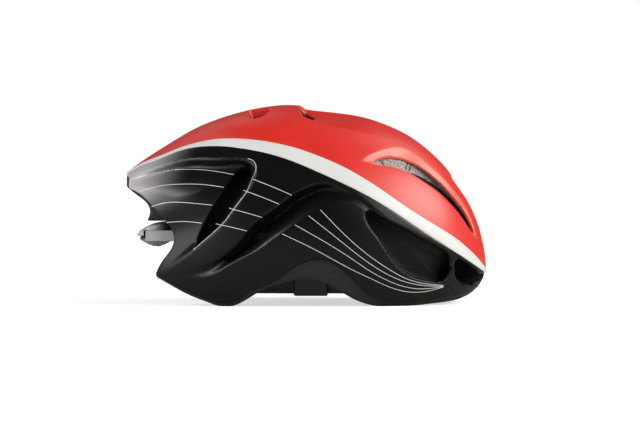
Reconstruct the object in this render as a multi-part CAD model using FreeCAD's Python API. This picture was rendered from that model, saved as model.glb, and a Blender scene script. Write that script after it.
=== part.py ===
"""Aero road cycling helmet: in-moulded shells on a foam liner, with fit pads, a dial-tightened
headband and a chin strap whose loop is pushed up inside the bowl.

Units are millimetres. +X is the front, +Y the wearer's left, +Z up. The origin is on the surface
that the helmet stands on, under the middle of its box.
"""

import FreeCAD
import Part
import math
import os

V = FreeCAD.Vector
SIDES = (("left", 1), ("right", -1))
FAR = 400.0                  # reach of a cutting block past the helmet

# ---- outer form: one row per cross-section, (x, crown, widest level, half width, lowest level)
SECTIONS = [
    (-152.0, 103.5, 96.0, 34.0, 61.0),
    (-146.0, 110.0, 95.0, 42.0, 57.0),
    (-128.0, 123.5, 92.0, 60.0, 45.0),
    (-100.0, 140.5, 84.0, 80.0, 15.0),
    (-68.0, 153.6, 76.0, 94.0, -25.0),
    (-30.0, 162.6, 68.0, 102.0, -42.0),
    (10.0, 162.6, 60.0, 102.5, -45.0),
    (50.0, 153.8, 52.0, 96.0, -45.0),
    (85.0, 137.8, 46.0, 84.0, -40.0),
    (111.0, 117.0, 41.0, 70.0, -25.0),
    (130.0, 91.5, 36.0, 53.0, -10.0),
    (142.0, 68.0, 32.0, 35.0, 4.0),
    (148.0, 45.0, 29.0, 18.0, 15.0),
    (149.9, 32.0, 27.0, 5.0, 22.0),
]
NOSE_X = 150.0
CROWN_POWER = 2.25           # superellipse power above the widest level
FLANK_POWER = 2.1            # and below it
SHELL_T = 2.0                # outer shell with its turned edge
SHELL_GAP = 0.1              # between shell and foam

# ---- side view outlines, (x, z)
REAR_EDGE = [(-153.0, 101.5), (-142.7, 95.8), (-128.7, 81.2), (-116.0, 67.8), (-109.2, 57.0),
             (-113.0, 49.0), (-122.0, 34.0), (-123.8, 22.8)]
RIM_EDGE = [(-123.8, 22.8), (-94.5, 8.0), (-66.0, -0.8), (-47.0, 6.5), (-21.6, 18.5), (-5.0, 22.5),
            (14.0, 20.0), (36.5, 7.5), (55.0, 0.6), (75.0, -0.8), (105.0, 1.6), (128.0, 5.0),
            (141.0, 12.0), (146.0, 22.0), (152.0, 26.0)]
SHELL_EDGE = [(-130.0, 27.5), (-94.5, 10.0), (-66.0, 1.6), (-50.0, 9.5), (-30.0, 18.5), (-10.4, 30.5),
              (8.0, 38.0), (24.0, 34.5), (40.0, 21.5), (58.0, 8.0), (78.0, 1.8), (105.0, 3.2),
              (128.0, 6.5), (141.0, 13.5), (146.0, 22.5), (152.0, 26.5)]
SEAM = [(-154.0, 104.5), (-121.0, 120.8), (-80.0, 130.4), (-39.0, 127.4), (2.5, 114.2), (44.0, 95.5),
        (85.0, 68.7), (126.0, 42.0), (152.0, 23.5)]
SEAM_GAP = 0.3
TAIL_BLOCK = [(-153.0, 106.0), (-153.0, 101.0), (-129.5, 82.0), (-127.5, 74.0), (-130.5, 68.5),
              (-80.0, 68.5), (-80.0, 106.0)]
TAIL_BLOCK_HALF = 40.0

BROW_SLOT = [(56.0, 115.0), (68.0, 121.3), (86.0, 117.6), (111.0, 99.7), (126.0, 83.1), (138.6, 58.0),
             (129.9, 69.6), (109.9, 92.5), (86.8, 107.8), (70.0, 113.8)]
REAR_SLOT = [(-58.0, 110.0), (-53.0, 116.0), (-55.0, 107.0), (-61.3, 94.8), (-75.4, 74.9),
             (-89.5, 46.0), (-82.9, 68.2), (-75.4, 80.7), (-64.7, 97.2)]
FLANK_SLOT = [(28.0, 98.0), (7.5, 99.7), (-17.4, 86.5), (-48.0, 61.6), (-75.4, 42.5), (-94.0, 35.0),
              (-67.2, 31.5), (-42.3, 41.7), (-17.4, 59.1), (11.6, 74.9), (30.0, 82.0)]
FLANK_HOLE = [(-2.0, 84.0), (-20.0, 73.0), (-42.0, 56.0), (-32.0, 52.5), (-12.0, 64.0), (4.0, 74.0)]
CHEEK_POCKET = [(55.0, 81.0), (59.7, 68.2), (69.6, 47.5), (82.1, 33.4), (102.8, 25.1), (119.0, 24.5),
                (121.0, 42.0), (102.8, 57.5), (77.9, 74.5)]
NOSE_PORT = [(126.0, 41.5), (125.0, 33.4), (129.0, 25.1), (140.0, 23.5), (147.0, 27.6), (136.0, 37.0)]
SLOT_REACH = 58.0            # |y| where the rear slot ends, inside the bowl
FLANK_REACH = 82.0           # |y| of the flank slot's floor
CHEEK_REACH = 60.0
BROW_REACH = 10.0
PORT_REACH = 12.0
CROWN_VENTS = [(-46.0, -26.0, 9.0, 34.0), (-8.0, 8.0, 9.0, 38.0)]   # x0, x1, |y| from, to
EXHAUST_X, EXHAUST_Y, EXHAUST_Z, EXHAUST_R = -152.0, 21.0, 88.0, 8.0

# ---- bowl for the head
BOWL_X, BOWL_A, BOWL_B = 6.0, 104.0, 77.0
BOWL_Z, BOWL_H = 45.0, 92.0
BOWL_POWER = 2.5
DOME_POWER = 2.4
NAPE_GAP_HALF = 48.0         # open back between the two rear lobes
NAPE_GAP_TOP = 68.0

# ---- pads: hook discs lie between pad and foam
DISC_IN, DISC_OUT = 0.2, 1.0
PAD_IN, PAD_OUT = 1.2, 8.0

# ---- headband and dial unit
PIVOT_X, PIVOT_Z = 60.0, 56.5
PIN_R = 3.0
PIN_BAND_Y = 66.4            # the band's middle where the pin goes through it
BAND_T, BAND_LOW, BAND_HIGH = 1.4, 52.0, 61.0
DIAL_X = -124.0
WHEEL_R, WHEEL_LOW, WHEEL_HIGH = 14.5, 46.5, 53.0
KNURLS = 30
MODULE, TEETH = 1.0, 12
PINION_LOW, PINION_HIGH = 55.3, 60.0
RACK_LOW, RACK_HIGH = 55.5, 59.8
RACK_BACK = 2.0              # rack thickness behind its tooth roots
RACK_TIP, RACK_TAIL = 14.0, 33.0
BASE_LOW, BASE_HIGH = 53.4, 55.0
UNIT_HALF = 32.0
CLEAR = 0.3
CRADLE_X, CRADLE_R, CRADLE_T = -2.0, 94.0, 2.0
CRADLE_LOW, CRADLE_HIGH, CRADLE_HALF = 36.0, 63.0, 40.0
STRIP_R, STRIP_T, STRIP_HALF = 151.0, 1.5, 6.0

# ---- straps
WEB_W, WEB_T = 15.0, 1.3
WEB_LOW = 10.0
STRAP_X = 4.0                # plane of the chin strap's loop
DIVIDER_Y, DIVIDER_T, DIVIDER_HALF = 66.5, 5.0, 14.0
BUCKLE_Y, BUCKLE_Z, BUCKLE_TILT = 37.5, 99.0, -42.0
ARM_PIVOT_X, ARM_PIVOT_Y = 7.1, 3.4


def box(x0, x1, y0, y1, z0, z1):
    """An axis-aligned block between two corners, given in any order."""
    lo = V(min(x0, x1), min(y0, y1), min(z0, z1))
    return Part.makeBox(abs(x1 - x0), abs(y1 - y0), abs(z1 - z0), lo)


def mirrored(shape):
    return shape.mirror(V(0, 0, 0), V(0, 1, 0))


def for_side(shape, sign):
    return shape if sign > 0 else mirrored(shape)


def spline(points):
    curve = Part.BSplineCurve()
    curve.interpolate([V(*p) for p in points])
    return curve.toShape()


def closed_spline(points):
    curve = Part.BSplineCurve()
    curve.interpolate([V(*p) for p in points], PeriodicFlag=True)
    return Part.Wire([curve.toShape()])


def side_prism(points, y0, y1):
    """A smooth closed side-view outline, swept from y0 to y1."""
    wire = closed_spline([(x, y0, z) for x, z in points])
    return Part.Face(wire).extrude(V(0, y1 - y0, 0))


def above(points, top=FAR):
    """Everything above an open side-view curve."""
    first, last = points[0], points[-1]
    edges = [spline([(x, -FAR / 2, z) for x, z in points])]
    corners = [(last[0], last[1]), (last[0], top), (first[0], top), (first[0], first[1])]
    edges += [Part.LineSegment(V(a[0], -FAR / 2, a[1]), V(b[0], -FAR / 2, b[1])).toShape()
              for a, b in zip(corners, corners[1:])]
    return Part.Face(Part.Wire(edges)).extrude(V(0, FAR, 0))


def shifted(points, dz):
    return [(x, z + dz) for x, z in points]


def section_wire(row, inset):
    """One closed cross-section of the outer form, all of it inset by the given depth."""
    x, crown, level, half, low = row
    x *= (NOSE_X - inset) / NOSE_X
    up, down, half = crown - inset - level, level - low - inset, half - inset
    up, down, half = max(up, 1.5), max(down, 1.5), max(half, 2.0)
    points = []
    for k in range(24):
        a = 2 * math.pi * k / 24
        c, s = math.cos(a), math.sin(a)
        power, height = (CROWN_POWER, up) if s >= 0 else (FLANK_POWER, down)
        y = half * math.copysign(abs(c) ** (2 / power), c)
        z = level + height * math.copysign(abs(s) ** (2 / power), s)
        points.append((x, y, z))
    return closed_spline(points)


def outer_form(inset=0.0):
    return Part.makeLoft([section_wire(row, inset) for row in SECTIONS], True, False)


def bowl(inset=0.0):
    """The space for the head: straight below BOWL_Z and domed above it, drawn in by inset."""
    a, b, h = BOWL_A - inset, BOWL_B - inset, BOWL_H - inset
    rises = [-0.85, -0.55, -0.25, 0.0, 0.25, 0.48, 0.68, 0.83, 0.93, 0.985]
    wires = []
    for rise in rises:
        share = (1 - max(rise, 0.0) ** DOME_POWER) ** (1 / DOME_POWER)
        points = []
        for k in range(24):
            t = 2 * math.pi * k / 24
            c, s = math.cos(t), math.sin(t)
            x = BOWL_X + a * share * math.copysign(abs(c) ** (2 / BOWL_POWER), c)
            y = b * share * math.copysign(abs(s) ** (2 / BOWL_POWER), s)
            points.append((x, y, BOWL_Z + h * rise))
        wires.append(closed_spline(points))
    return Part.makeLoft(wires, True, False)


def cylinder(x, y, z, r, length, axis):
    return Part.makeCylinder(r, length, V(x, y, z), V(*axis))


# ---------------------------------------------------------------- shells and liner

def both_sides(cutter):
    return [cutter, mirrored(cutter)]


def vent_cutters():
    """Every opening that goes through shell and foam alike."""
    cutters = []
    for outline, reach in ((BROW_SLOT, BROW_REACH), (REAR_SLOT, SLOT_REACH), (FLANK_SLOT, FLANK_REACH),
                           (FLANK_HOLE, SLOT_REACH), (CHEEK_POCKET, CHEEK_REACH),
                           (NOSE_PORT, PORT_REACH)):
        cutters += both_sides(side_prism(outline, reach, 120.0))
    for x0, x1, y0, y1 in CROWN_VENTS:
        vent = box(x0, x1, y0, y1, 100.0, 180.0)
        cutters += both_sides(vent.makeFillet(5.0, [e for e in vent.Edges if e.Length > 70.0]))
    for sign in (1, -1):
        cutters.append(cylinder(EXHAUST_X, sign * EXHAUST_Y, EXHAUST_Z, EXHAUST_R, 80.0, (1, 0, 0)))
    return cutters


def side_body():
    """The region kept by the side view: rear edge, rim and everything above them."""
    edges = [spline([(x, -FAR / 2, z) for x, z in REAR_EDGE]),
             spline([(x, -FAR / 2, z) for x, z in RIM_EDGE])]
    start, end = REAR_EDGE[0], RIM_EDGE[-1]
    corners = [(end[0], end[1]), (end[0], FAR), (start[0], FAR), (start[0], start[1])]
    edges += [Part.LineSegment(V(a[0], -FAR / 2, a[1]), V(b[0], -FAR / 2, b[1])).toShape()
              for a, b in zip(corners, corners[1:])]
    body = Part.Face(Part.Wire(edges)).extrude(V(0, FAR, 0))
    return body.cut(box(-FAR, FAR, -FAR, FAR, -FAR, 0.0))


def tail_block():
    corners = [V(x, -TAIL_BLOCK_HALF, z) for x, z in TAIL_BLOCK]
    wire = Part.makePolygon(corners + corners[:1])
    return Part.Face(wire).extrude(V(0, 2 * TAIL_BLOCK_HALF, 0))


def nape_gap():
    return box(-200.0, BOWL_X - 70.0, -NAPE_GAP_HALF, NAPE_GAP_HALF, -20.0, NAPE_GAP_TOP)


def make_liner(vents, kept, pins):
    form = outer_form(SHELL_T + SHELL_GAP)
    body = form.common(kept).fuse(form.common(tail_block()))
    return body.cut([bowl(), nape_gap()] + vents + pins)


def make_shells(vents, kept):
    skin = outer_form().cut(outer_form(SHELL_T)).common(kept).cut([nape_gap()] + vents)
    upper = skin.common(above(SEAM))
    lower = skin.common(above(SHELL_EDGE)).cut(above(shifted(SEAM, -SEAM_GAP)))
    return upper, lower


# ---------------------------------------------------------------- pads

def pad_footprints():
    """Where each pad lies on the bowl's wall: name to the block that bounds it."""
    pads = {"brow_pad": box(60, 140, -56, 56, 34, 58),
            "crown_pad": box(-56, 76, -9, 9, 90, 160)}
    for name, sign in SIDES:
        pads[f"{name}_crown_pad"] = box(-40, 66, sign * 30, sign * 46, 90, 160)
        pads[f"{name}_temple_pad"] = box(-24, 44, sign * 50, sign * 90, 68, 88)
        pads[f"{name}_rear_pad"] = box(-120, -60, sign * 16, sign * 56, 78, 100)
    return pads


def disc_sites():
    """Through points and directions of the hook discs that hold the pads."""
    sites = [((100, 0, 46), (1, 0, 0))]
    sites += [((80, s * 52, 46), (0.7, s * 0.7, 0)) for s in (1, -1)]
    sites += [((x, 0, 110), (0, 0, 1)) for x in (-36, 8, 52)]
    sites += [((x, s * 38, 100), (0, 0, 1)) for s in (1, -1) for x in (-18, 44)]
    sites += [((x, s * 60, 78), (0, s, 0)) for s in (1, -1) for x in (-10, 30)]
    sites += [((-72, s * 36, 89), (-0.8, s * 0.5, 0)) for s in (1, -1)]
    return sites


# ---------------------------------------------------------------- headband, racks and dial

def offset_points(points, distance):
    """Points moved sideways by a distance, to the left of the way the path runs."""
    moved = []
    for k, (a, b) in enumerate(points):
        p, q = points[max(k - 1, 0)], points[min(k + 1, len(points) - 1)]
        da, db = q[0] - p[0], q[1] - p[1]
        length = math.hypot(da, db)
        moved.append((a - distance * db / length, b + distance * da / length))
    return moved


def ribbon(points, thickness, place, sweep):
    """A thin strip along a smooth planar path. place turns a path point into 3-D."""
    one = [place(a, b) for a, b in offset_points(points, thickness / 2)]
    two = [place(a, b) for a, b in offset_points(points, -thickness / 2)]
    edges = [spline(one), Part.LineSegment(V(*one[-1]), V(*two[-1])).toShape(),
             spline(two[::-1]), Part.LineSegment(V(*two[0]), V(*one[0])).toShape()]
    return Part.Face(Part.Wire(edges)).extrude(V(*sweep))


def band_path(rack_x):
    """Plan path of the left band, from its rack round the head to the temple pivot."""
    return [(rack_x, RACK_TAIL), (rack_x + 4, 36.0), (-104.0, 41.0), (-94.0, 42.8), (-86.0, 44.2),
            (-76.0, 50.5), (-60.0, 61.5), (-40.0, 69.0), (-10.0, 73.2), (20.0, 73.2), (42.0, 70.0),
            (54.0, 66.9), (60.0, PIN_BAND_Y), (67.0, PIN_BAND_Y)]


def make_band(rack_x):
    strip = ribbon(band_path(rack_x), BAND_T, lambda a, b: (a, b, BAND_LOW), (0, 0, BAND_HIGH - BAND_LOW))
    rack_end = box(rack_x - 8, rack_x + 8, 0, RACK_TAIL + 0.05, BAND_LOW - 1, BAND_HIGH + 1)
    return strip.cut([rack_end, cylinder(PIVOT_X, 40, PIVOT_Z, PIN_R + 0.06, 60, (0, 1, 0))])


def temple_pin():
    """A flanged pin pressed into the foam, with the band turning on it."""
    neck = PIN_BAND_Y - BAND_T / 2 - CLEAR
    stem = cylinder(PIVOT_X, neck, PIVOT_Z, PIN_R, 76.0 - neck, (0, 1, 0))
    return stem.fuse(cylinder(PIVOT_X, neck - 1.4, PIVOT_Z, PIN_R + 2.5, 1.4, (0, 1, 0)))


def temple_socket():
    return cylinder(PIVOT_X, 60.0, PIVOT_Z, PIN_R, 16.0, (0, 1, 0))


PITCH_R = MODULE * TEETH / 2
FRONT_RACK_X = DIAL_X + PITCH_R
REAR_RACK_X = DIAL_X - PITCH_R


def pinion_profile():
    """Involute teeth, 20 degrees, with a short addendum so that the rack doesn't undercut them."""
    base, tip, root = PITCH_R * math.cos(math.radians(20)), PITCH_R + 0.75, PITCH_R - 0.95
    half_at_pitch = (math.pi * MODULE / 2 - 0.30) / 2 / PITCH_R
    involute = lambda r: math.sqrt((r / base) ** 2 - 1) - math.acos(base / r)
    points = []
    for k in range(TEETH):
        centre = 2 * math.pi * k / TEETH
        flank = []
        for r in (base + 0.01, PITCH_R, tip):
            flank.append((r, half_at_pitch + involute(PITCH_R) - involute(r)))
        low = (root, flank[0][1])
        for r, half in [low] + flank:
            points.append((r * math.cos(centre - half), r * math.sin(centre - half)))
        for r, half in flank[::-1] + [low]:
            points.append((r * math.cos(centre + half), r * math.sin(centre + half)))
    return points


def polygon_prism(points, z0, z1):
    corners = [V(x, y, z0) for x, y in points]
    return Part.Face(Part.makePolygon(corners + corners[:1])).extrude(V(0, 0, z1 - z0))


def make_pinion():
    gear = polygon_prism([(DIAL_X + x, y) for x, y in pinion_profile()], PINION_LOW, PINION_HIGH)
    shaft = cylinder(DIAL_X, 0, WHEEL_HIGH, 4.0, PINION_LOW - WHEEL_HIGH, (0, 0, 1))
    hub = cylinder(DIAL_X, 0, PINION_HIGH, 2.5, 1.2, (0, 0, 1))
    return gear.fuse([shaft, hub]).cut(cylinder(DIAL_X, 0, 40, 1.4, 18.5, (0, 0, 1)))


def make_rack(front):
    """A straight rack: the front one leads to the left band and the rear one to the right band."""
    out = 1 if front else -1
    pitch_x = FRONT_RACK_X if front else REAR_RACK_X
    pitch = math.pi * MODULE
    tip, root, half = -0.6, 1.0, (pitch / 2 - 0.10) / 2
    slope = math.tan(math.radians(20))
    y0, y1 = -RACK_TIP, RACK_TAIL
    outline = [(root + RACK_BACK, y0), (root, y0)]
    first = math.ceil((y0 + 1.0) / pitch - 0.5)
    last = math.floor((RACK_TIP + 8.0) / pitch - 0.5)
    for k in range(first, last + 1):
        y = (k + 0.5) * pitch
        wide, narrow = half + root * slope, half + tip * slope
        outline += [(root, y - wide), (tip, y - narrow), (tip, y + narrow), (root, y + wide)]
    outline += [(root, y1), (root + RACK_BACK, y1)]
    points = [(pitch_x + out * dx, out * y) for dx, y in outline]
    return polygon_prism(points, RACK_LOW, RACK_HIGH)


def make_wheel():
    wheel = cylinder(DIAL_X, 0, WHEEL_LOW, WHEEL_R, WHEEL_HIGH - WHEEL_LOW, (0, 0, 1))
    notches = []
    for k in range(KNURLS):
        a = 2 * math.pi * k / KNURLS
        notches.append(cylinder(DIAL_X + (WHEEL_R + 0.4) * math.cos(a), (WHEEL_R + 0.4) * math.sin(a),
                                WHEEL_LOW - 1, 0.95, 9, (0, 0, 1)))
    clicks = []
    for k in range(KNURLS):
        a, step = 2 * math.pi * k / KNURLS, math.pi / KNURLS
        clicks += [(DIAL_X + 11.6 * math.cos(a), 11.6 * math.sin(a)),
                   (DIAL_X + 10.9 * math.cos(a + step), 10.9 * math.sin(a + step))]
    recess = polygon_prism(clicks, WHEEL_HIGH - 3.0, WHEEL_HIGH + 1)
    bore = cylinder(DIAL_X, 0, 40, 1.45, 20, (0, 0, 1))
    hub = cylinder(DIAL_X, 0, WHEEL_HIGH - 3.0, 4.0, 3.0, (0, 0, 1))
    sink = cylinder(DIAL_X, 0, WHEEL_LOW - 1, 3.4, 2.4, (0, 0, 1))
    return wheel.cut(notches + [recess]).fuse(hub).cut([bore, sink])


def make_dial_screw():
    head = cylinder(DIAL_X, 0, WHEEL_LOW + 0.1, 3.2, 1.3, (0, 0, 1))
    shank = cylinder(DIAL_X, 0, WHEEL_LOW + 1.4, 1.38, 10.0, (0, 0, 1))
    slot = box(DIAL_X - 2.4, DIAL_X + 2.4, -0.4, 0.4, WHEEL_LOW, WHEEL_LOW + 0.8)
    return head.fuse(shank).cut(slot)


def make_click_spring():
    """A leaf under the base whose nose rides on the wheel's inner teeth."""
    ring = cylinder(DIAL_X, 0, 50.6, 8.6, 1.9, (0, 0, 1)).cut(cylinder(DIAL_X, 0, 50, 7.6, 4, (0, 0, 1)))
    leaf = ring.cut(box(DIAL_X - 20, DIAL_X + 20, -20, 0, 45, 60))
    nose = box(DIAL_X - 10.7, DIAL_X - 8.0, 0.0, 1.0, 50.6, 52.5)
    foot = cylinder(DIAL_X + 8.1, 1.2, 50.6, 1.2, BASE_LOW - 50.6, (0, 0, 1))
    return leaf.fuse([nose, foot])


def make_base():
    plate = box(DIAL_X - 13, DIAL_X + 12, -UNIT_HALF, UNIT_HALF, BASE_LOW, BASE_HIGH)
    plate = plate.makeFillet(9.0, [e for e in plate.Edges if abs(e.Vertexes[0].X - e.Vertexes[-1].X) < 1e-6
                                   and abs(e.Vertexes[0].Y - e.Vertexes[-1].Y) < 1e-6])
    tongue = box(DIAL_X + 10, -90.0, -18, 18, BASE_LOW, BASE_HIGH + 4)
    tongue = tongue.cut(Part.makeCylinder(CRADLE_R + CRADLE_T / 2, 60, V(CRADLE_X, 0, 20)))
    bores = [cylinder(DIAL_X, 0, 50, 4.06, 8, (0, 0, 1))]
    bores += [cylinder(DIAL_X, s * 25.0, 50, 1.35, 8, (0, 0, 1)) for s in (1, -1)]
    return plate.fuse(tongue).cut(bores)


COVER_SIDE = [(-141.0, 55.1), (-141.5, 56.6), (-137.0, 60.5), (-128.0, 65.0), (-118.0, 67.0),
              (-112.0, 66.6), (-111.5, 60.0), (-112.3, 55.1)]


def make_cover():
    """The lid over the racks: a beak in side view and a rounded bar from above."""
    corners = [V(x, -UNIT_HALF - 2, z) for x, z in COVER_SIDE]
    wedge = Part.Face(Part.makePolygon(corners + corners[:1])).extrude(V(0, 2 * UNIT_HALF + 4, 0))
    plan = closed_spline([(-141.5, 0, 50), (-140, 12, 50), (-134, 26, 50), (-124, 33.5, 50), (-114, 30, 50),
                          (-111.5, 18, 50), (-111.5, -18, 50), (-114, -30, 50), (-124, -33.5, 50),
                          (-134, -26, 50), (-140, -12, 50)])
    lid = wedge.common(Part.Face(plan).extrude(V(0, 0, 30)))
    hollow = box(REAR_RACK_X - 1.0 - RACK_BACK - CLEAR, FRONT_RACK_X + 1.0 + RACK_BACK + CLEAR,
                 -60, 60, 50, 61.6)
    front_room = box(-116, -100, -18.3, 18.3, 50, BASE_HIGH + 4.2)
    posts = [cylinder(DIAL_X, s * 25.0, BASE_HIGH + 0.1, 3.2, 8, (0, 0, 1)) for s in (1, -1)]
    holes = [cylinder(DIAL_X, s * 25.0, 50, 1.32, 12, (0, 0, 1)) for s in (1, -1)]
    return lid.cut([hollow, front_room]).fuse(posts).cut(holes)


def make_housing_screws():
    screws = []
    for s in (1, -1):
        shank = cylinder(DIAL_X, s * 25.0, BASE_LOW, 1.25, 8.0, (0, 0, 1))
        screws.append(shank.fuse(cylinder(DIAL_X, s * 25.0, BASE_LOW - 1.2, 2.4, 1.2, (0, 0, 1))))
    return Part.makeCompound(screws)


def arc_plate(r_out, thickness, half, z0, z1):
    """A vertical plate curved about the cradle's centre, behind the head."""
    ring = Part.makeCylinder(r_out, z1 - z0, V(CRADLE_X, 0, z0))
    ring = ring.cut(Part.makeCylinder(r_out - thickness, z1 - z0 + 2, V(CRADLE_X, 0, z0 - 1)))
    return ring.common(box(-200, CRADLE_X - 40, -half, half, z0, z1))


def pivot_arc(radius, thickness, half, a0, a1):
    """A strip bent about the temple pivot, between two angles above level."""
    ring = Part.makeCylinder(radius + thickness / 2, 2 * half, V(PIVOT_X, -half, PIVOT_Z), V(0, 1, 0))
    ring = ring.cut(Part.makeCylinder(radius - thickness / 2, 2 * half + 2,
                                      V(PIVOT_X, -half - 1, PIVOT_Z), V(0, 1, 0)))
    z0 = PIVOT_Z + radius * math.sin(math.radians(a0))
    z1 = PIVOT_Z + radius * math.sin(math.radians(a1))
    return ring.common(box(-200, PIVOT_X - 60, -half, half, z0, z1))


def make_cradle():
    plate = arc_plate(CRADLE_R + CRADLE_T / 2, CRADLE_T, CRADLE_HALF, CRADLE_LOW, CRADLE_HIGH)
    windows = [cylinder(-120, s * 22.0, 45.0, 5.5, 60, (1, 0, 0)) for s in (1, -1)]
    strip = pivot_arc(STRIP_R, STRIP_T, STRIP_HALF, 1.5, 13.0)
    knees = box(CRADLE_X - CRADLE_R - 0.6, PIVOT_X - STRIP_R + 0.3, -STRIP_HALF, STRIP_HALF, 60.5, 64.5)
    return plate.cut(windows).fuse([strip, knees])


def make_height_clip():
    """The clip on the liner that guides the cradle's strip."""
    guide = pivot_arc(STRIP_R + 1.2, STRIP_T + 6.0, STRIP_HALF + 3.0, 9.6, 12.2)
    groove = pivot_arc(STRIP_R, STRIP_T + 2 * CLEAR, STRIP_HALF + CLEAR, 8.0, 14.0)
    return guide.cut(groove)


def clip_socket():
    return pivot_arc(STRIP_R + 1.2, STRIP_T + 6.0, STRIP_HALF + 3.0, 9.6, 12.2)


# ---------------------------------------------------------------- straps and buckle

def strap_anchor(x, y, z):
    """A flanged stud that pins a strap's end to the foam."""
    stem = cylinder(x, y - 2.2, z, 3.0, 12.0, (0, 1, 0))
    return stem.fuse(cylinder(x, y - 3.4, z, 6.5, 1.2, (0, 1, 0)))


ANCHORS = {"front": (46.0, 72.0, 17.5), "rear": (-50.0, 66.0, 17.5)}


def make_side_strap(which):
    ax, ay, az = ANCHORS[which]
    sign = 1 if which == "front" else -1
    start = ay - 1.3
    near = STRAP_X + sign * (DIVIDER_HALF - 6.0)
    middle = ((ax + near) / 2, (start + DIVIDER_Y) / 2)
    path = [(ax + sign * 8.5, start), (ax, start), (ax - sign * 8.0, start), middle,
            (near + sign * 8.0, DIVIDER_Y), (near, DIVIDER_Y)]
    strap = ribbon(path, WEB_T, lambda a, b: (a, b, WEB_LOW), (0, 0, WEB_W))
    return strap.cut(cylinder(ax, ay - 10, az, 3.1, 20, (0, 1, 0)))


def make_divider():
    half, t = DIVIDER_HALF, DIVIDER_T / 2
    body = box(STRAP_X - half, STRAP_X + half, DIVIDER_Y - t, DIVIDER_Y + t, WEB_LOW - 2, WEB_LOW + WEB_W + 3)
    body = body.makeFillet(1.6, body.Edges)
    slot_t, slot_w = WEB_T / 2 + 0.5, WEB_W / 2 + CLEAR
    middle = WEB_LOW + WEB_W / 2
    slots = [box(STRAP_X + s * (half - 6.4), STRAP_X + s * (half + 5), DIVIDER_Y - slot_t, DIVIDER_Y + slot_t,
                 middle - slot_w, middle + slot_w) for s in (1, -1)]
    slots.append(box(STRAP_X - slot_w, STRAP_X + slot_w, DIVIDER_Y - slot_t, DIVIDER_Y + slot_t,
                     WEB_LOW + 8.0, WEB_LOW + WEB_W + 8))
    ears = [box(STRAP_X + s * 8.6, STRAP_X + s * 10.8, DIVIDER_Y - t - 2.6, DIVIDER_Y - t + 0.5,
                WEB_LOW - 1.2, WEB_LOW + 3.0) for s in (1, -1)]
    bore = cylinder(STRAP_X - 20, LEVER_Y, LEVER_Z, 1.0, 40, (1, 0, 0))
    return body.cut(slots).fuse(ears).cut(bore)


LEVER_Y = DIVIDER_Y - DIVIDER_T / 2 - 1.4
LEVER_Z = WEB_LOW + 0.9


def make_lever():
    barrel = cylinder(STRAP_X - 8.3, LEVER_Y, LEVER_Z, 1.3, 16.6, (1, 0, 0))
    paddle = box(STRAP_X - 7.5, STRAP_X + 7.5, LEVER_Y - 1.3, LEVER_Y + 0.5, LEVER_Z, LEVER_Z + 12.5)
    tab = cylinder(STRAP_X - 7.5, LEVER_Y - 0.4, LEVER_Z + 12.5, 0.9, 15.0, (1, 0, 0))
    return barrel.fuse([paddle, tab]).cut(cylinder(STRAP_X - 20, LEVER_Y, LEVER_Z, 0.75, 40, (1, 0, 0)))


def lever_pin():
    thin = cylinder(STRAP_X - 10.8, LEVER_Y, LEVER_Z, 0.7, 21.6, (1, 0, 0))
    ends = [cylinder(x, LEVER_Y, LEVER_Z, 0.98, 2.2, (1, 0, 0)) for x in (STRAP_X - 10.8, STRAP_X + 8.6)]
    return thin.fuse(ends)


def to_buckle(shape):
    """Places a piece made about the buckle's own centre: its length runs along local Y."""
    placed = shape.copy()
    placed.Placement = FreeCAD.Placement(V(STRAP_X, BUCKLE_Y, BUCKLE_Z),
                                         FreeCAD.Rotation(V(1, 0, 0), BUCKLE_TILT))
    return placed


def make_socket_half():
    body = box(-13, 13, -25, 0, -4, 4)
    body = body.makeFillet(1.8, [e for e in body.Edges if e.Length > 24.0])
    hollow = box(-10.6, 10.6, -17, 1, -2.5, 2.5)
    windows = box(-20, 20, -14.2, -4.5, -2.5, 2.5)
    strap_slot = box(-WEB_W / 2 - CLEAR, WEB_W / 2 + CLEAR, -26, -19.5, -0.95, 0.95)
    return to_buckle(body.cut([hollow, windows, strap_slot]))


def make_plug_half():
    base = box(-13, 13, 0.3, 15, -4, 4)
    base = base.makeFillet(1.8, [e for e in base.Edges if e.Length > 24.0])
    guide = box(-1.8, 1.8, -15.5, 1, -2.0, 2.0)
    arm_rooms = [box(s * 4.0, s * 10.2, -1, ARM_PIVOT_Y, -2.4, 2.4) for s in (1, -1)]
    arm_rooms += [cylinder(s * ARM_PIVOT_X, ARM_PIVOT_Y, -2.4, 1.55, 4.8, (0, 0, 1)) for s in (1, -1)]
    strap_slot = box(-WEB_W / 2 - CLEAR, WEB_W / 2 + CLEAR, 8.5, 16, -0.95, 0.95)
    return to_buckle(base.cut(arm_rooms + [strap_slot]).fuse(guide))


def make_arm(sign):
    """One spring arm of the plug half, with the barb that shows in the socket's window."""
    points = [(8.5, ARM_PIVOT_Y), (8.5, -5.2), (12.6, -5.2), (12.6, -9.5), (8.0, -14.6), (6.2, -14.6),
              (6.2, -2.0), (5.7, ARM_PIVOT_Y)]
    arm = polygon_prism([(sign * x, y) for x, y in points], -2.0, 2.0)
    root = cylinder(sign * ARM_PIVOT_X, ARM_PIVOT_Y, -2.0, 1.5, 4.0, (0, 0, 1))
    return to_buckle(arm.fuse(root))


def buckle_point(y, z=0.0):
    a = math.radians(BUCKLE_TILT)
    return (BUCKLE_Y + y * math.cos(a) - z * math.sin(a), BUCKLE_Z + y * math.sin(a) + z * math.cos(a))


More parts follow.
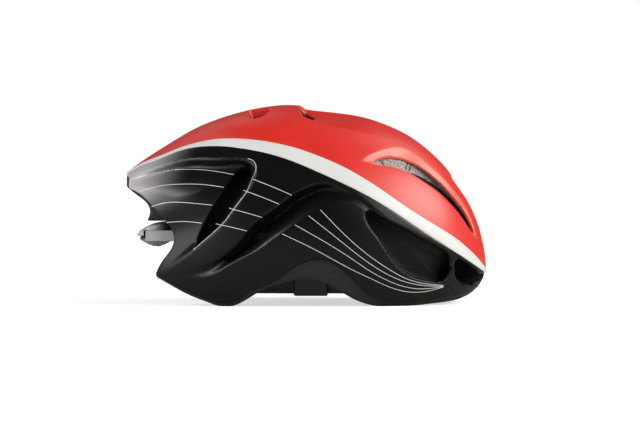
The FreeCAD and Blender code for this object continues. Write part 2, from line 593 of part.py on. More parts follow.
def make_chin_strap(which):
    """Left: divider to plug half. Right: divider, over the crown, to the socket half."""
    foot, neck = WEB_LOW + 9.0, WEB_LOW + WEB_W + 6.0
    if which == "left":
        end = [buckle_point(26.0), buckle_point(15.5), buckle_point(9.0)]
        path = [(DIVIDER_Y, foot), (DIVIDER_Y, neck), (65.4, 52.0), (62.6, 70.0)] + end[0:1] + end[1:]
    else:
        end = [buckle_point(-34.0), buckle_point(-25.5), buckle_point(-20.0)]
        path = [(-DIVIDER_Y, foot), (-DIVIDER_Y, neck), (-65.4, 52.0), (-62.6, 75.0), (-52.0, 98.0),
                (-34.0, 114.5), (-12.0, 123.0)] + end
    return ribbon(path, WEB_T, lambda a, b: (STRAP_X - WEB_W / 2, a, b), (WEB_W, 0, 0))


def make_chin_pad():
    """A soft sleeve round the strap beside the socket half."""
    path = [(-64.0, 62.0), (-62.6, 75.0), (-52.0, 98.0), (-40.0, 109.8)]
    solid = ribbon(path, 6.0, lambda a, b: (STRAP_X - 11.0, a, b), (22.0, 0, 0))
    full = [(-66.2, 40.0), (-65.4, 52.0), (-62.6, 75.0), (-52.0, 98.0), (-34.0, 114.5), (-12.0, 123.0)]
    core = ribbon(full, WEB_T + 0.9, lambda a, b: (STRAP_X - WEB_W / 2 - 0.4, a, b), (WEB_W + 0.8, 0, 0))
    return solid.cut(core)


def make_keeper():
    """The rubber ring that holds the strap's spare end."""
    out = box(STRAP_X - 9.6, STRAP_X + 9.6, 61.4, 69.4, 37.0, 42.0)
    return out.cut(box(STRAP_X - 8.0, STRAP_X + 8.0, 63.2, 67.6, 30.0, 50.0))


# ---------------------------------------------------------------- writing the nodes

def build():
    nodes = {}
    kept, vents = side_body(), vent_cutters()
    sockets = [clip_socket()]
    sockets += both_sides(temple_socket())
    for x, y, z in ANCHORS.values():
        sockets += both_sides(cylinder(x, y - 2.2, z, 3.0, 12.0, (0, 1, 0)))
    nodes["foam_liner"] = make_liner(vents, kept, sockets)
    nodes["upper_shell"], nodes["lower_shell"] = make_shells(vents, kept)

    pad_layer = bowl(PAD_IN).cut(bowl(PAD_OUT))
    for name, footprint in pad_footprints().items():
        nodes[name] = pad_layer.common(footprint)
    disc_layer = bowl(DISC_IN).cut(bowl(DISC_OUT))
    rods = [cylinder(*point, 8.0, 60.0, way) for point, way in disc_sites()]
    nodes["hook_discs"] = Part.makeCompound([s for rod in rods for s in disc_layer.common(rod).Solids])

    nodes["left_band"] = make_band(FRONT_RACK_X + 2.0)
    nodes["right_band"] = mirrored(make_band(REAR_RACK_X - 2.0))
    nodes["left_rack"], nodes["right_rack"] = make_rack(True), make_rack(False)
    nodes["rear_cradle"] = make_cradle()
    nodes["height_clip"] = make_height_clip()
    nodes["dial_base"], nodes["dial_cover"] = make_base(), make_cover()
    nodes["housing_screws"] = make_housing_screws()
    nodes["dial_wheel"], nodes["drive_pinion"] = make_wheel(), make_pinion()
    nodes["dial_screw"], nodes["click_spring"] = make_dial_screw(), make_click_spring()
    nape = arc_plate(CRADLE_R - CRADLE_T / 2 - 0.3, 5.0, 36.0, CRADLE_LOW + 2, CRADLE_HIGH - 3)

    anchors = []
    for name, sign in SIDES:
        nodes[f"{name}_nape_pad"] = for_side(nape.common(box(-200, 0, 8, 60, 0, 100)), sign)
        nodes[f"{name}_temple_pin"] = for_side(temple_pin(), sign)
        nodes[f"{name}_front_strap"] = for_side(make_side_strap("front"), sign)
        nodes[f"{name}_rear_strap"] = for_side(make_side_strap("rear"), sign)
        nodes[f"{name}_divider"] = for_side(make_divider(), sign)
        nodes[f"{name}_cam_lever"] = for_side(make_lever(), sign)
        nodes[f"{name}_cam_pin"] = for_side(lever_pin(), sign)
        nodes[f"{name}_chin_strap"] = make_chin_strap(name)
        anchors += [for_side(strap_anchor(*place), sign) for place in ANCHORS.values()]
    nodes["strap_anchors"] = Part.makeCompound(anchors)
    nodes["buckle_socket"], nodes["buckle_plug"] = make_socket_half(), make_plug_half()
    nodes["front_buckle_arm"], nodes["rear_buckle_arm"] = make_arm(1), make_arm(-1)
    nodes["chin_pad"], nodes["strap_keeper"] = make_chin_pad(), make_keeper()
    return nodes


def main():
    os.makedirs("parts", exist_ok=True)
    for name, shape in build().items():
        solids = shape.Solids
        if not solids or not all(s.isValid() and s.Volume > 0 for s in solids):
            print("bad solid:", name, [round(s.Volume, 1) for s in solids])
        whole = solids[0] if len(solids) == 1 else Part.makeCompound(solids)
        whole.exportStep(f"parts/{name}.step")
        b = whole.BoundBox
        print(f"{name}: {len(solids)} solid(s), {sum(s.Volume for s in solids):.0f} mm3, "
              f"x {b.XMin:.1f}..{b.XMax:.1f} y {b.YMin:.1f}..{b.YMax:.1f} z {b.ZMin:.1f}..{b.ZMax:.1f}")


main()
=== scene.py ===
"""Aero road cycling helmet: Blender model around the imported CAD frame.

Lengths are in millimetres until a mesh is made. +X is the front, +Y the wearer's left, +Z up.
"""

import math

import bpy
import numpy as np
import openvdb
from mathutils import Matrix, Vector
from mathutils.bvhtree import BVHTree


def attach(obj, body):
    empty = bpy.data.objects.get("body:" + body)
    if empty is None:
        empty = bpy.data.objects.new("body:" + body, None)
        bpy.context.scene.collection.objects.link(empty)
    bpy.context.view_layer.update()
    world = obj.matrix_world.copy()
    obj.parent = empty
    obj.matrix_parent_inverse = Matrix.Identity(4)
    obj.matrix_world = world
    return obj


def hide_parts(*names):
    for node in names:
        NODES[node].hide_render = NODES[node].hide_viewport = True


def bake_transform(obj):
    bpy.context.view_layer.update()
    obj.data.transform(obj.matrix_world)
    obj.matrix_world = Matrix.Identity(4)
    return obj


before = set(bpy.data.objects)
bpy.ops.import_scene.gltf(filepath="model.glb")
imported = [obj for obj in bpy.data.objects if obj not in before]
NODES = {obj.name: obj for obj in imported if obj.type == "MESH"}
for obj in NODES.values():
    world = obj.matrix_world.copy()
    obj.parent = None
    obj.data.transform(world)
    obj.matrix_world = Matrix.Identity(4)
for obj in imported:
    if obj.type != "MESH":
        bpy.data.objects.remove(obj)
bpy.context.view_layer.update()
MM = 0.001
SIDES = (("left", 1), ("right", -1))


# ---------------- curves and plane maps

def spline(points, closed=False, step=1.0):
    """Points about every step along a smooth curve through the given ones."""
    p = np.array(points, float)
    if closed:
        p = np.vstack([p, p[:1]])
    t = np.r_[0.0, np.cumsum(np.linalg.norm(np.diff(p, axis=0), axis=1))]
    h, n = np.diff(t), len(p)
    a, r = np.eye(n), np.zeros_like(p)
    for i in range(1, n - 1):
        a[i, i - 1:i + 2] = h[i - 1], 2 * (h[i - 1] + h[i]), h[i]
        r[i] = 6 * ((p[i + 1] - p[i]) / h[i] - (p[i] - p[i - 1]) / h[i - 1])
    if closed:
        a[0, 0], a[0, 1], a[0, -2] = 2 * (h[-1] + h[0]), h[0], h[-1]
        r[0] = 6 * ((p[1] - p[0]) / h[0] - (p[-1] - p[-2]) / h[-1])
        a[-1, 0] = -1.0
    m = np.linalg.solve(a, r)
    s = np.linspace(0, t[-1], max(int(t[-1] / step), 8) + 1)
    i = np.clip(np.searchsorted(t, s, side="right") - 1, 0, n - 2)
    u, w = (s - t[i])[:, None], h[i][:, None]
    v = w - u
    return (m[i] * v ** 3 + m[i + 1] * u ** 3) / (6 * w) + (p[i] / w - m[i] * w / 6) * v \
        + (p[i + 1] / w - m[i + 1] * w / 6) * u


def graph(points):
    """The smooth curve through the points, as a function of its first coordinate."""
    c = spline(points, step=0.25)
    return lambda x: np.interp(x, c[:, 0], c[:, 1])


class Plane:
    """Scalar maps over a plane, sampled every millimetre and read back bilinearly."""

    def __init__(self, a0, a1, b0, b1):
        self.a0, self.b0 = a0, b0
        self.a, self.b = np.meshgrid(np.arange(a0, a1 + 1.0), np.arange(b0, b1 + 1.0), indexing="ij")

    def nearest(self, line):
        """(distance, side, arc length) of the nearest place on an open or closed polyline."""
        best = np.full(self.a.shape, 1e9)
        side, along, run = np.zeros_like(best), np.zeros_like(best), 0.0
        for p, q in zip(line, line[1:]):
            d = q - p
            length = math.hypot(*d)
            if length < 1e-9:
                continue
            ra, rb = self.a - p[0], self.b - p[1]
            t = np.clip((ra * d[0] + rb * d[1]) / length ** 2, 0, 1)
            dist = np.hypot(ra - t * d[0], rb - t * d[1])
            closer = dist < best - 1e-9
            best = np.where(closer, dist, best)
            side = np.where(closer, np.sign(d[0] * rb - d[1] * ra), side)
            along = np.where(closer, run + t * length, along)
            run += length
        return best, side, along

    def beside(self, points, reach=60.0):
        """Signed distance from an open curve, positive on its left. Its ends run on straight."""
        c = spline(points)
        head, tail = c[0] - c[1], c[-1] - c[-2]
        c = np.vstack([c[0] + reach * head / np.linalg.norm(head), c,
                       c[-1] + reach * tail / np.linalg.norm(tail)])
        dist, side, _ = self.nearest(c)
        return dist * side

    def inside(self, points, smooth=True):
        """Signed distance from a closed outline, positive inside it."""
        c = spline(points, closed=True) if smooth else np.array(points + points[:1], float)
        c[-1] = c[0]
        dist, _, _ = self.nearest(c)
        odd = np.zeros(self.a.shape, bool)
        for p, q in zip(c, c[1:]):
            if p[1] == q[1]:
                continue
            cross = (p[1] > self.b) != (q[1] > self.b)
            odd ^= cross & (self.a < (q[0] - p[0]) * (self.b - p[1]) / (q[1] - p[1]) + p[0])
        return np.where(odd, dist, -dist)

    def read(self, grid, a, b):
        a = np.clip(np.asarray(a, float) - self.a0, 0, grid.shape[0] - 1.001)
        b = np.clip(np.asarray(b, float) - self.b0, 0, grid.shape[1] - 1.001)
        i, j = a.astype(int), b.astype(int)
        u, v = a - i, b - j
        return (grid[i, j] * (1 - u) + grid[i + 1, j] * u) * (1 - v) \
            + (grid[i, j + 1] * (1 - u) + grid[i + 1, j + 1] * u) * v


def ramp(v, lo, hi):
    """0 below lo, 1 above hi and smooth between."""
    t = np.clip((v - lo) / (hi - lo), 0, 1)
    return t * t * (3 - 2 * t)


def smax(a, b, r):
    """The larger of two, with a rounding of radius r where they cross."""
    h = np.clip(0.5 + 0.5 * (a - b) / r, 0, 1)
    return b + (a - b) * h + r * h * (1 - h)


def smin(a, b, r):
    return -smax(-a, -b, r)


def chamfer(v, width, soft=0.8):
    """0 below 0 and 1 above width, straight between, with a small rounding at each end."""
    return smin(smax(v, 0, soft), width, soft) / width


SIDE = Plane(-166, 160, -14, 180)        # (x, z)
TOP = Plane(-166, 160, -8, 112)          # (x, |y|)

# ---------------- outer form

CROWN = graph([(-158, 101), (-147.6, 109.0), (-134.3, 118.8), (-114.4, 132.0), (-94.5, 143.4),
               (-74.6, 151.8), (-54.7, 158.0), (-34.8, 162.2), (-15, 164.0), (5, 162.4), (25, 159.2),
               (44.8, 154.8), (64.7, 148.2), (84.6, 138.8), (104.5, 123.8), (117.7, 110.0), (129, 93),
               (137.6, 77.6), (144.0, 61), (147.8, 45), (149.6, 33), (150.0, 27.4)])
WIDE = graph([(-158, 96), (-128, 92), (-100, 84), (-68, 76), (-30, 68), (10, 60), (50, 52), (85, 45),
              (111, 39.5), (130, 34), (142, 30), (150, 27)])
HALF = graph([(-158, 34), (-146, 50), (-128, 66), (-100, 83.5), (-68, 96), (-30, 102.3), (0, 103.2),
              (30, 101), (60, 94.2), (90, 82), (115, 65.5), (132, 47), (142, 32), (147.5, 17.5),
              (149.6, 8), (150, 1)])
LOW = graph([(-158, -20), (-128, -52), (-100, -60), (-68, -60), (-30, -54), (10, -50), (50, -48),
             (85, -42), (111, -28), (130, -9), (142, 5), (147.5, 14), (150, 22)])
POWER_UP, POWER_DOWN = 2.25, 2.1         # how square the section is above and below its widest line
NOSE_X, FRONT_FACE = 150.0, 149.7


def section_radius(x, y, z):
    """1 on the outer form, less inside it."""
    wide = WIDE(x)
    up, down = np.maximum(CROWN(x) - wide, 0.6), np.maximum(wide - LOW(x), 0.6)
    over = z > wide
    n = np.where(over, POWER_UP, POWER_DOWN)
    v = np.where(over, (z - wide) / up, (wide - z) / down)
    beyond = np.maximum(x - NOSE_X, 0) * 0.4
    return ((np.abs(y) / HALF(x)) ** n + v ** n) ** (1 / n) + beyond


def egg(x, y, z):
    """About the distance to the outer form, in mm."""
    e = 0.4
    r = section_radius(x, y, z)
    gx = (section_radius(x + e, y, z) - section_radius(x - e, y, z)) / (2 * e)
    gy = (section_radius(x, np.abs(y) + e, z) - r) / e
    gz = (section_radius(x, y, z + e) - section_radius(x, y, z - e)) / (2 * e)
    return (r - 1) / np.sqrt(gx ** 2 + gy ** 2 + gz ** 2 + 1e-8)


# ---------------- side features

SLOT_EDGE = [(-62, 123.2), (-52, 121.6), (-45.4, 118.6), (-41.6, 112.5), (-43.4, 103), (-47.9, 95.4),
             (-56.4, 83.7), (-67.1, 69.2), (-79.2, 57.2), (-92.4, 46.0)]
SLOT_REAR = [(-58.0, 117.5), (-58.8, 109.9), (-64.4, 98.6), (-73.5, 84.9), (-81.5, 71.3), (-87.1, 60),
             (-92.3, 47.4)]
ROOF = [(-160, 99), (-145, 104.8), (-127, 111.4), (-107.4, 117), (-95.8, 119.2), (-86, 119.8),
        (-76, 119.6), (-62, 120.4), (-50, 120.4), (-36, 117)]
CHANNEL_UP = [(-104, 26), (-90.5, 31.5), (-75.8, 37.5), (-64, 45), (-55.5, 52.5), (-48, 62.5),
              (-36, 73.5), (-21.2, 84), (-12, 91.5), (-5, 95.5), (2, 98.8), (10, 101.5), (18, 102),
              (29, 99), (40, 93), (52, 84)]
CHANNEL_DOWN = [(-104, 25.5), (-86, 24.2), (-76, 26.5), (-69, 30.3), (-60, 36), (-52, 40),
                (-40.6, 45.5), (-29, 53), (-19.6, 60), (-8.7, 67.3), (2.5, 74.2), (12, 80), (22, 85),
                (31, 87), (40, 85), (50, 77.5)]
CHANNEL_DEPTH = graph([(-104, 0), (-96, 0.8), (-84, 3.6), (-66, 10.5), (-45, 15), (-20, 15), (0, 12),
                       (15, 8.5), (30, 5), (45, 3.2), (56, 2.5)])
CHANNEL_HOLE = [(-26, 71), (-34, 66), (-42, 59), (-50, 51), (-58, 43.5), (-64, 38.5), (-66, 36),
                (-62, 36.4), (-53, 42.5), (-43, 50.5), (-34, 58), (-27, 65.5)]
SLOT_HOLE = [(-43.6, 110), (-45.4, 102.6), (-50, 94), (-58, 83), (-68.8, 68.6), (-80.5, 57),
             (-90.5, 48.5), (-87.5, 57), (-82.4, 68), (-75.5, 81), (-67, 94.5), (-58.5, 107.5),
             (-53, 112.5), (-47, 113.5)]
INTAKE = [(50, 77.8), (51.8, 66.7), (58.7, 57.2), (67.7, 42.9), (76.8, 31.5), (86, 24.9), (97.3, 21.2),
          (111, 20), (117, 23.5), (119, 32), (117.5, 41.5), (108.6, 48.0), (91.6, 57.2), (74.6, 66.5),
          (58.7, 75), (52.5, 78.6)]
PORT = [(123.0, 36.5), (121.8, 29.3), (123.6, 21.8), (128.5, 17.3), (137, 16.4), (145, 18.5),
        (153, 20.5), (153, 25), (144.5, 24.6), (141.6, 27), (134.8, 33.2), (129, 36.8), (125.5, 37.8)]
PORT_INNER = 11.0
BROW = [(56, 117.6), (61.8, 120.2), (68, 121.7), (75.4, 121.5), (83.7, 118.9), (100, 108.8),
        (115.1, 95.4), (126, 82.7), (133.5, 71.4), (138.6, 58.4), (129.9, 70.1), (121.8, 80.5),
        (109.9, 92.6), (97, 102), (86.8, 108.2), (77.1, 112.3), (66, 115.2)]
BROW_LOW = [(44, 117.4), (56, 116.4), (69.3, 114.4), (77.1, 112.4), (86.8, 108.4), (101.1, 99.5),
            (109.9, 92.8), (121.8, 80.5), (129.9, 70.1), (138, 58.3)]
BROW_FOLD = [(42, 117.3), (54.7, 124.9), (66.3, 128.9), (75.8, 130.3), (83.7, 128.2), (95.3, 120.2),
             (111.1, 106.5), (125, 91), (135, 75), (141.5, 55)]
SEAM = graph([(-160, 102), (-148, 107.8), (-136.5, 114.2), (-121.2, 120.2), (-107.4, 126), (-94, 129.8),
              (-80, 131.3), (-65, 131), (-50.2, 129.2), (-35.2, 126.4), (-20.3, 122.4), (-5.4, 117),
              (9.5, 110.6), (31.9, 100.3), (46.8, 92.8), (64.3, 82.6), (85, 68.8), (105.6, 54.9),
              (128.9, 39.8), (148.9, 25.4), (156, 20)])
STRIPE = graph([(-160, 104), (-148, 109.2), (-136.5, 115.9), (-121.2, 122.2), (-100.6, 130.4),
                (-88, 134), (-72.5, 136.7), (-57.6, 137.1), (-35.2, 135.3), (-20.3, 132.6),
                (-5.4, 128.7), (9.5, 123.4), (24.5, 117.2), (46.8, 105.3), (61.8, 95.6), (76.7, 85.1),
                (91.6, 75.2), (106.5, 65.8), (121.4, 56.3), (136.4, 43.6), (143.4, 36.2), (149, 29),
                (156, 18)])
SHELL_EDGE = [(-134, 30.5), (-124.4, 25.5), (-108, 16), (-94.5, 10.0), (-81, 4.6), (-68, 1.4),
              (-57, 4.2), (-46, 11.5), (-34, 16.5), (-20, 24.5), (-8, 33), (4, 38), (18, 37.6),
              (30, 30.5), (40, 21), (50, 10.5), (60, 4.5), (72, 1.6), (91, 2.3), (118, 5.0), (131, 7.2),
              (138, 11), (143, 16.0), (147, 21.5), (151, 26), (160, 30)]
RIM_EDGE = [(-140, 31), (-124.4, 24.0), (-94.5, 8.4), (-80, 3.0), (-66.0, -0.8), (-47.0, 6.5),
            (-36.5, 12.8), (-21.6, 18.5), (-5.0, 22.5), (14.0, 20.0), (26, 14), (36.5, 7.5),
            (55.0, 0.6), (75.0, -0.8), (105.0, 1.6), (128.0, 4.8), (138, 9.5), (143, 14.5), (147, 20.5),
            (153.0, 25.5), (160, 28)]
REAR_EDGE = [(-158, 98), (-151, 97.4), (-147.6, 96.4), (-142.5, 94.4), (-137, 91.4), (-126.8, 82),
             (-116.9, 70.8), (-110.6, 62.2), (-108.6, 55.5), (-111, 46.8), (-118.5, 36.6), (-124.2, 25),
             (-128, 12)]
CENTRE_EDGE = [(-158, 98), (-149.5, 97), (-140, 90.5), (-131, 83), (-128.6, 77.5), (-129.5, 72),
               (-131.5, 68), (-136, 60)]


BROW_MIDDLE = [(40, 118.2), (56, 117.2), (66, 115.2), (86.8, 108.2), (109.9, 92.6), (129.9, 70.1),
               (140, 56)]
INTAKE_BACK = [(49, 90), (50, 77.8), (51.8, 66.7), (58.7, 57.2), (67.7, 42.9), (76.8, 31.5), (86, 24.9),
               (97.3, 21.2), (122, 18)]


def side_maps():
    """Every map of the side view: how far the skin is pressed in, and what is cut out of it."""
    x, z = SIDE.a, SIDE.b
    slot = -SIDE.beside(SLOT_EDGE)                      # positive behind the slot's sharp edge
    under_roof = -SIDE.beside(ROOF)
    fade = ramp(z, 22, 78)
    behind = chamfer(slot, 4.0, 1.6) * (1 - ramp(slot, 8, 54)) ** 1.2
    roofed = chamfer(under_roof, 5.0, 1.8)
    press = 8.0 * behind * roofed * fade
    press += 1.4 * roofed * ramp(slot, 4, 14) * ramp(z, 74, 100) * (1 - ramp(-x, 118, 142))
    above = z - STRIPE(x)
    step = ramp(above, -3, 3) * (1 - ramp(above, 3, 13))
    press += 1.1 * step * ramp(x, -140, -95) * (1 - ramp(x, -5, 40))
    up, down = -SIDE.beside(CHANNEL_UP), SIDE.beside(CHANNEL_DOWN)
    depth = np.maximum(CHANNEL_DEPTH(x), 0) * ramp(x, -102, -92)
    room = np.maximum(up + down, 0.1)
    channel = ramp(up, -1.0, 8.5) * ramp(down / np.minimum(room, 26), -0.06, 0.80)
    press += depth * channel
    fold = -SIDE.beside(BROW_FOLD)
    brow = SIDE.inside(BROW)
    lip = chamfer(fold, 7.4, 0.35) * (1 - ramp(-brow, 4.5, 13.0))
    upper_side = ramp(SIDE.beside(BROW_MIDDLE), -1.0, 1.0)
    press += 3.6 * lip * upper_side * ramp(x, 38, 52)
    intake = SIDE.inside(INTAKE)
    deep = -SIDE.beside(INTAKE_BACK)
    over_brow = SIDE.beside(BROW_LOW)
    return {
        "press": press,
        "slot_hole": SIDE.inside(SLOT_HOLE),
        "channel_hole": SIDE.inside(CHANNEL_HOLE),
        "intake": intake,
        "intake_floor": 3.5 + 12.5 * (1 - ramp(np.abs(deep), 0, 40)),
        "port": SIDE.inside(PORT),
        "brow": brow,
        # the brow's fold band, which gets a painted highlight in the red paint
        "bevel": np.minimum(np.minimum(fold, 9 + brow), over_brow + 1) - 3 * (1 - ramp(x, 44, 56)),
        "shadow": np.minimum(brow + 2, 2.4 * ramp(x, 70, 112) - 0.4 - np.abs(over_brow)),
        "brow_floor": 3.4 + 3.0 * ramp(-over_brow, -6, 0),
        "rear": -SIDE.beside(REAR_EDGE),
        "centre": -SIDE.beside(CENTRE_EDGE),
        "shell_rim": -SIDE.beside(SHELL_EDGE),
        "liner_rim": -SIDE.beside(RIM_EDGE),
    }


REAR_VENT = [(-46.6, 9.5), (-46.9, 20), (-46.9, 34), (-46.2, 43.5), (-42, 46.5), (-36.5, 45), (-32, 37),
             (-28.5, 25), (-26.3, 12), (-28, 8.5), (-37, 8.2)]
REAR_VENT_HOLE = [(-45.4, 17), (-45.6, 25), (-45.4, 35), (-44.4, 41), (-40.5, 43.2), (-37.0, 41),
                  (-34.4, 34), (-32.2, 25), (-30.6, 17.5), (-34, 15.2), (-41, 15.0)]
SCOOP_EDGE = [(-9, 30), (-6.5, 38), (-3.4, 45.5), (3.5, 50.3), (10.8, 52.8), (25, 54), (40, 54),
              (60, 52.5), (80, 50)]
SCOOP_HOLE = [(-4.6, 12), (-3.8, 26), (-2.2, 38), (0.6, 44), (4.0, 46.6), (6.2, 44), (6.0, 32),
              (5.6, 14), (0, 10)]


def top_maps():
    """Every map of the view from above, over one half."""
    x, y = TOP.a, TOP.b
    crease = -TOP.beside(SCOOP_EDGE)
    scoop = chamfer(crease, 3.6, 0.5) * (1 - ramp(x, 2, 60)) ** 1.1 * ramp(x, -5.5, 0.5)
    front = scoop * (2.8 + 4.6 * ramp(y, 3.0, 13.0) * (1 - 0.45 * ramp(y, 13, 44)))
    vent = TOP.inside(REAR_VENT)
    rear = (10.0 - 6.6 * ramp(y, 16, 40)) * chamfer(vent, 4.4 - 1.8 * ramp(y, 16, 40), 0.6)
    return {"press": front + rear, "hole": np.maximum(TOP.inside(REAR_VENT_HOLE), TOP.inside(SCOOP_HOLE))}


SIDE_MAP = side_maps()
TOP_MAP = top_maps()


def side(name, x, z):
    """One of the side view's maps, read at (x, z)."""
    return SIDE.read(SIDE_MAP[name], x, z)


def body(x, y, z):
    """The outer skin with everything that is pressed into it."""
    top = TOP.read(TOP_MAP["press"], x, np.abs(y)) * ramp(z, 122, 136)
    ledge = 1.2 * ramp(x, 119.6, 121.4) * (1 - ramp(x, 122, 134))
    ledge = ledge * (1 - ramp(np.abs(y), 14, 26)) * ramp(z, 80, 88)
    return smax(egg(x, y, z) + side("press", x, z) + top + ledge, x - FRONT_FACE, 1.5)


# ---------------- what is cut away

SEAM_GAP = 0.25
TAIL_HALF, TAIL_X = 38.0, -149.6


def openings(x, y, z):
    """Positive inside every opening of the skin."""
    port = np.minimum(side("port", x, z), np.abs(y) - PORT_INNER)
    top = np.minimum(TOP.read(TOP_MAP["hole"], x, np.abs(y)), z - 120)
    cut = np.maximum(side("intake", x, z), port)
    for name in ("slot_hole", "channel_hole", "brow"):
        cut = np.maximum(cut, side(name, x, z))
    return np.maximum(cut, top)


def tail_end(x, y):
    """Positive behind the rounded end of the tail."""
    return TAIL_X + 6.0 * (np.minimum(np.abs(y), 36.0) / 44.0) ** 3 - x


def upper_trim(x, y, z):
    """(edge that rolls in, edge at the seam) of the upper shell, positive outside it."""
    edge = np.maximum(openings(x, y, z), tail_end(x, y))
    edge = smax(edge, side("rear", x, z), 2.0)
    return edge, SEAM(x) - z


def lower_trim(x, y, z):
    """The same two edges of the lower shell."""
    edge = smax(openings(x, y, z), side("shell_rim", x, z), 1.0)
    edge = smax(edge, side("rear", x, z), 3.0)
    edge = smax(edge, tail_end(x, y), 2.0)
    return edge, z - (SEAM(x) - SEAM_GAP)


# ---------------- bowl and liner

BOWL = dict(x=6.0, a=104.0, b=77.0, z=45.0, h=92.0, flat=2.5, dome=2.4)
BOWL_MEAN = 84.0                         # turns the bowl's ratio into about mm
NAPE_HALF, NAPE_TOP, NAPE_X = 48.0, 68.0, -64.0
SKIN = 2.1                               # from the outer skin to the foam
LANES = ((20.0, 7.0, 7.0, 96.0),          # air channels: |y|, half width, depth and lowest z
         (53.0, 5.0, 5.0, 82.0))


def bowl(x, y, z, inset=0.0):
    """About the distance to the bowl's wall, positive outside the bowl."""
    a, b, h = BOWL["a"] - inset, BOWL["b"] - inset, BOWL["h"] - inset
    flat = BOWL["flat"]
    plan = ((np.abs(x - BOWL["x"]) / a) ** flat + (np.abs(y) / b) ** flat) ** (1 / flat)
    rise = np.maximum(z - BOWL["z"], 0) / h
    r = (plan ** BOWL["dome"] + rise ** BOWL["dome"]) ** (1 / BOWL["dome"])
    return (r - 1) * BOWL_MEAN


def bar(v, centre, half):
    """Positive further than half from the centre."""
    return np.abs(v - centre) - half


def liner(x, y, z):
    """The foam: the skin's form less its bowl, air channels, nape gap and vents."""
    ay = np.abs(y)
    skin = body(x, y, z)
    solid = skin + SKIN
    rim = smax(side("liner_rim", x, z), -z, 0.5)
    outline = smax(side("rear", x, z) + 0.6, rim, 3.0)
    centre = np.maximum(np.maximum(side("centre", x, z), ay - TAIL_HALF), 68.5 - z)
    outline = np.minimum(outline, smax(centre, ay - TAIL_HALF, 2.0))
    solid = smax(solid, outline, 1.5)
    solid = np.maximum(solid, tail_end(x, y) + 1.0)
    hollow = wall = bowl(x, y, z)
    for lane, half, deep, lowest in LANES:
        lane_cut = smax(bar(ay, lane, half), smax(hollow - deep, np.maximum(x - 92, -84 - x), 4.0), 3.0)
        hollow = smin(hollow, np.maximum(lane_cut, lowest - z), 3.0)
    gap = smax(smax(ay - NAPE_HALF, z - NAPE_TOP, 5.0), x - NAPE_X, 4.0)
    solid = smax(solid, -smin(hollow, gap, 3.0), 1.6)
    # vents: each takes the foam away down to its own depth under the skin
    cuts = np.minimum(np.minimum(side("slot_hole", x, z), skin + 17), wall - 4.0)
    cuts = np.maximum(cuts, np.minimum(np.minimum(side("channel_hole", x, z), skin + 15), wall - 4.0))
    peep = 6.5 - np.hypot((x + 35.5) * 0.8, z - 53.5)
    cuts = np.maximum(cuts, np.minimum(peep, skin + 60))
    intake = np.minimum(side("intake", x, z), skin + side("intake_floor", x, z))
    cuts = np.maximum(cuts, smin(intake, wall - 5.0, 2.0))
    cuts = np.maximum(cuts, np.minimum(side("port", x, z), ay - PORT_INNER))
    cuts = np.maximum(cuts, np.minimum(side("brow", x, z), skin + side("brow_floor", x, z)))
    cuts = np.maximum(cuts, np.minimum(TOP.read(TOP_MAP["hole"], x, ay), z - 100))
    exhaust = smin(-bar(ay, 21.0, 10.5), -bar(z, 87.5, 6.5), 4.0)
    cuts = np.maximum(cuts, np.minimum(exhaust, -80 - x))
    return smax(solid, cuts, 1.0)


# ---------------- fields to meshes

def gradient(field, p, e=0.35):
    x, y, z = p.T
    return np.stack([field(x + e, y, z) - field(x - e, y, z), field(x, y + e, z) - field(x, y - e, z),
                     field(x, y, z + e) - field(x, y, z - e)], axis=1) / (2 * e)


def settle(field, p, rounds=3, most=0.8):
    """Moves points onto the field's zero surface."""
    for _ in range(rounds):
        g = gradient(field, p)
        f = field(*p.T)
        move = -(f / np.maximum((g ** 2).sum(axis=1), 0.05))[:, None] * g
        size = np.linalg.norm(move, axis=1, keepdims=True)
        p = p + move * np.minimum(1, most / np.maximum(size, 1e-9))
    return p


def contour(field, pitch, lo, hi, mirror=True):
    """Quads on a field's zero surface. With mirror, only y > 0 is read and the other side is its copy."""
    xs = np.arange(lo[0], hi[0] + pitch, pitch)
    ys = np.arange(0.0 if mirror else lo[1], hi[1] + pitch, pitch)
    zs = np.arange(lo[2], hi[2] + pitch, pitch)
    half = np.concatenate([field(part[:, None, None], ys[None, :, None], zs[None, None, :])
                           for part in np.array_split(xs, 8)], axis=0)
    full = np.concatenate([half[:, :0:-1], half], axis=1) if mirror else half
    grid = openvdb.FloatGrid(3 * pitch)
    grid.copyFromArray(np.clip(full, -3 * pitch, 3 * pitch).astype(np.float32))
    points, quads = grid.convertToQuads(isovalue=0.0)
    points = np.asarray(points, float) * pitch + [xs[0], -ys[-1] if mirror else ys[0], zs[0]]
    quads = np.asarray(quads, int)
    a, b, c = (points[quads[:, k]] for k in range(3))
    g = gradient(field, (a + c) / 2)
    if (np.cross(b - a, c - a) * g).sum() < 0:
        quads = quads[:, ::-1]
    return points, quads


def halves(points, quads):
    """Each quad split along its shorter diagonal."""
    p = points[quads]
    short = np.linalg.norm(p[:, 0] - p[:, 2], axis=1) <= np.linalg.norm(p[:, 1] - p[:, 3], axis=1)
    q = np.where(short[:, None], quads, np.roll(quads, -1, axis=1))
    return np.vstack([q[:, [0, 1, 2]], q[:, [0, 2, 3]]])


def used(points, faces):
    """The points that the faces use, and the faces numbered to match."""
    keep, index = np.unique(faces, return_inverse=True)
    return points[keep], index.reshape(faces.shape)


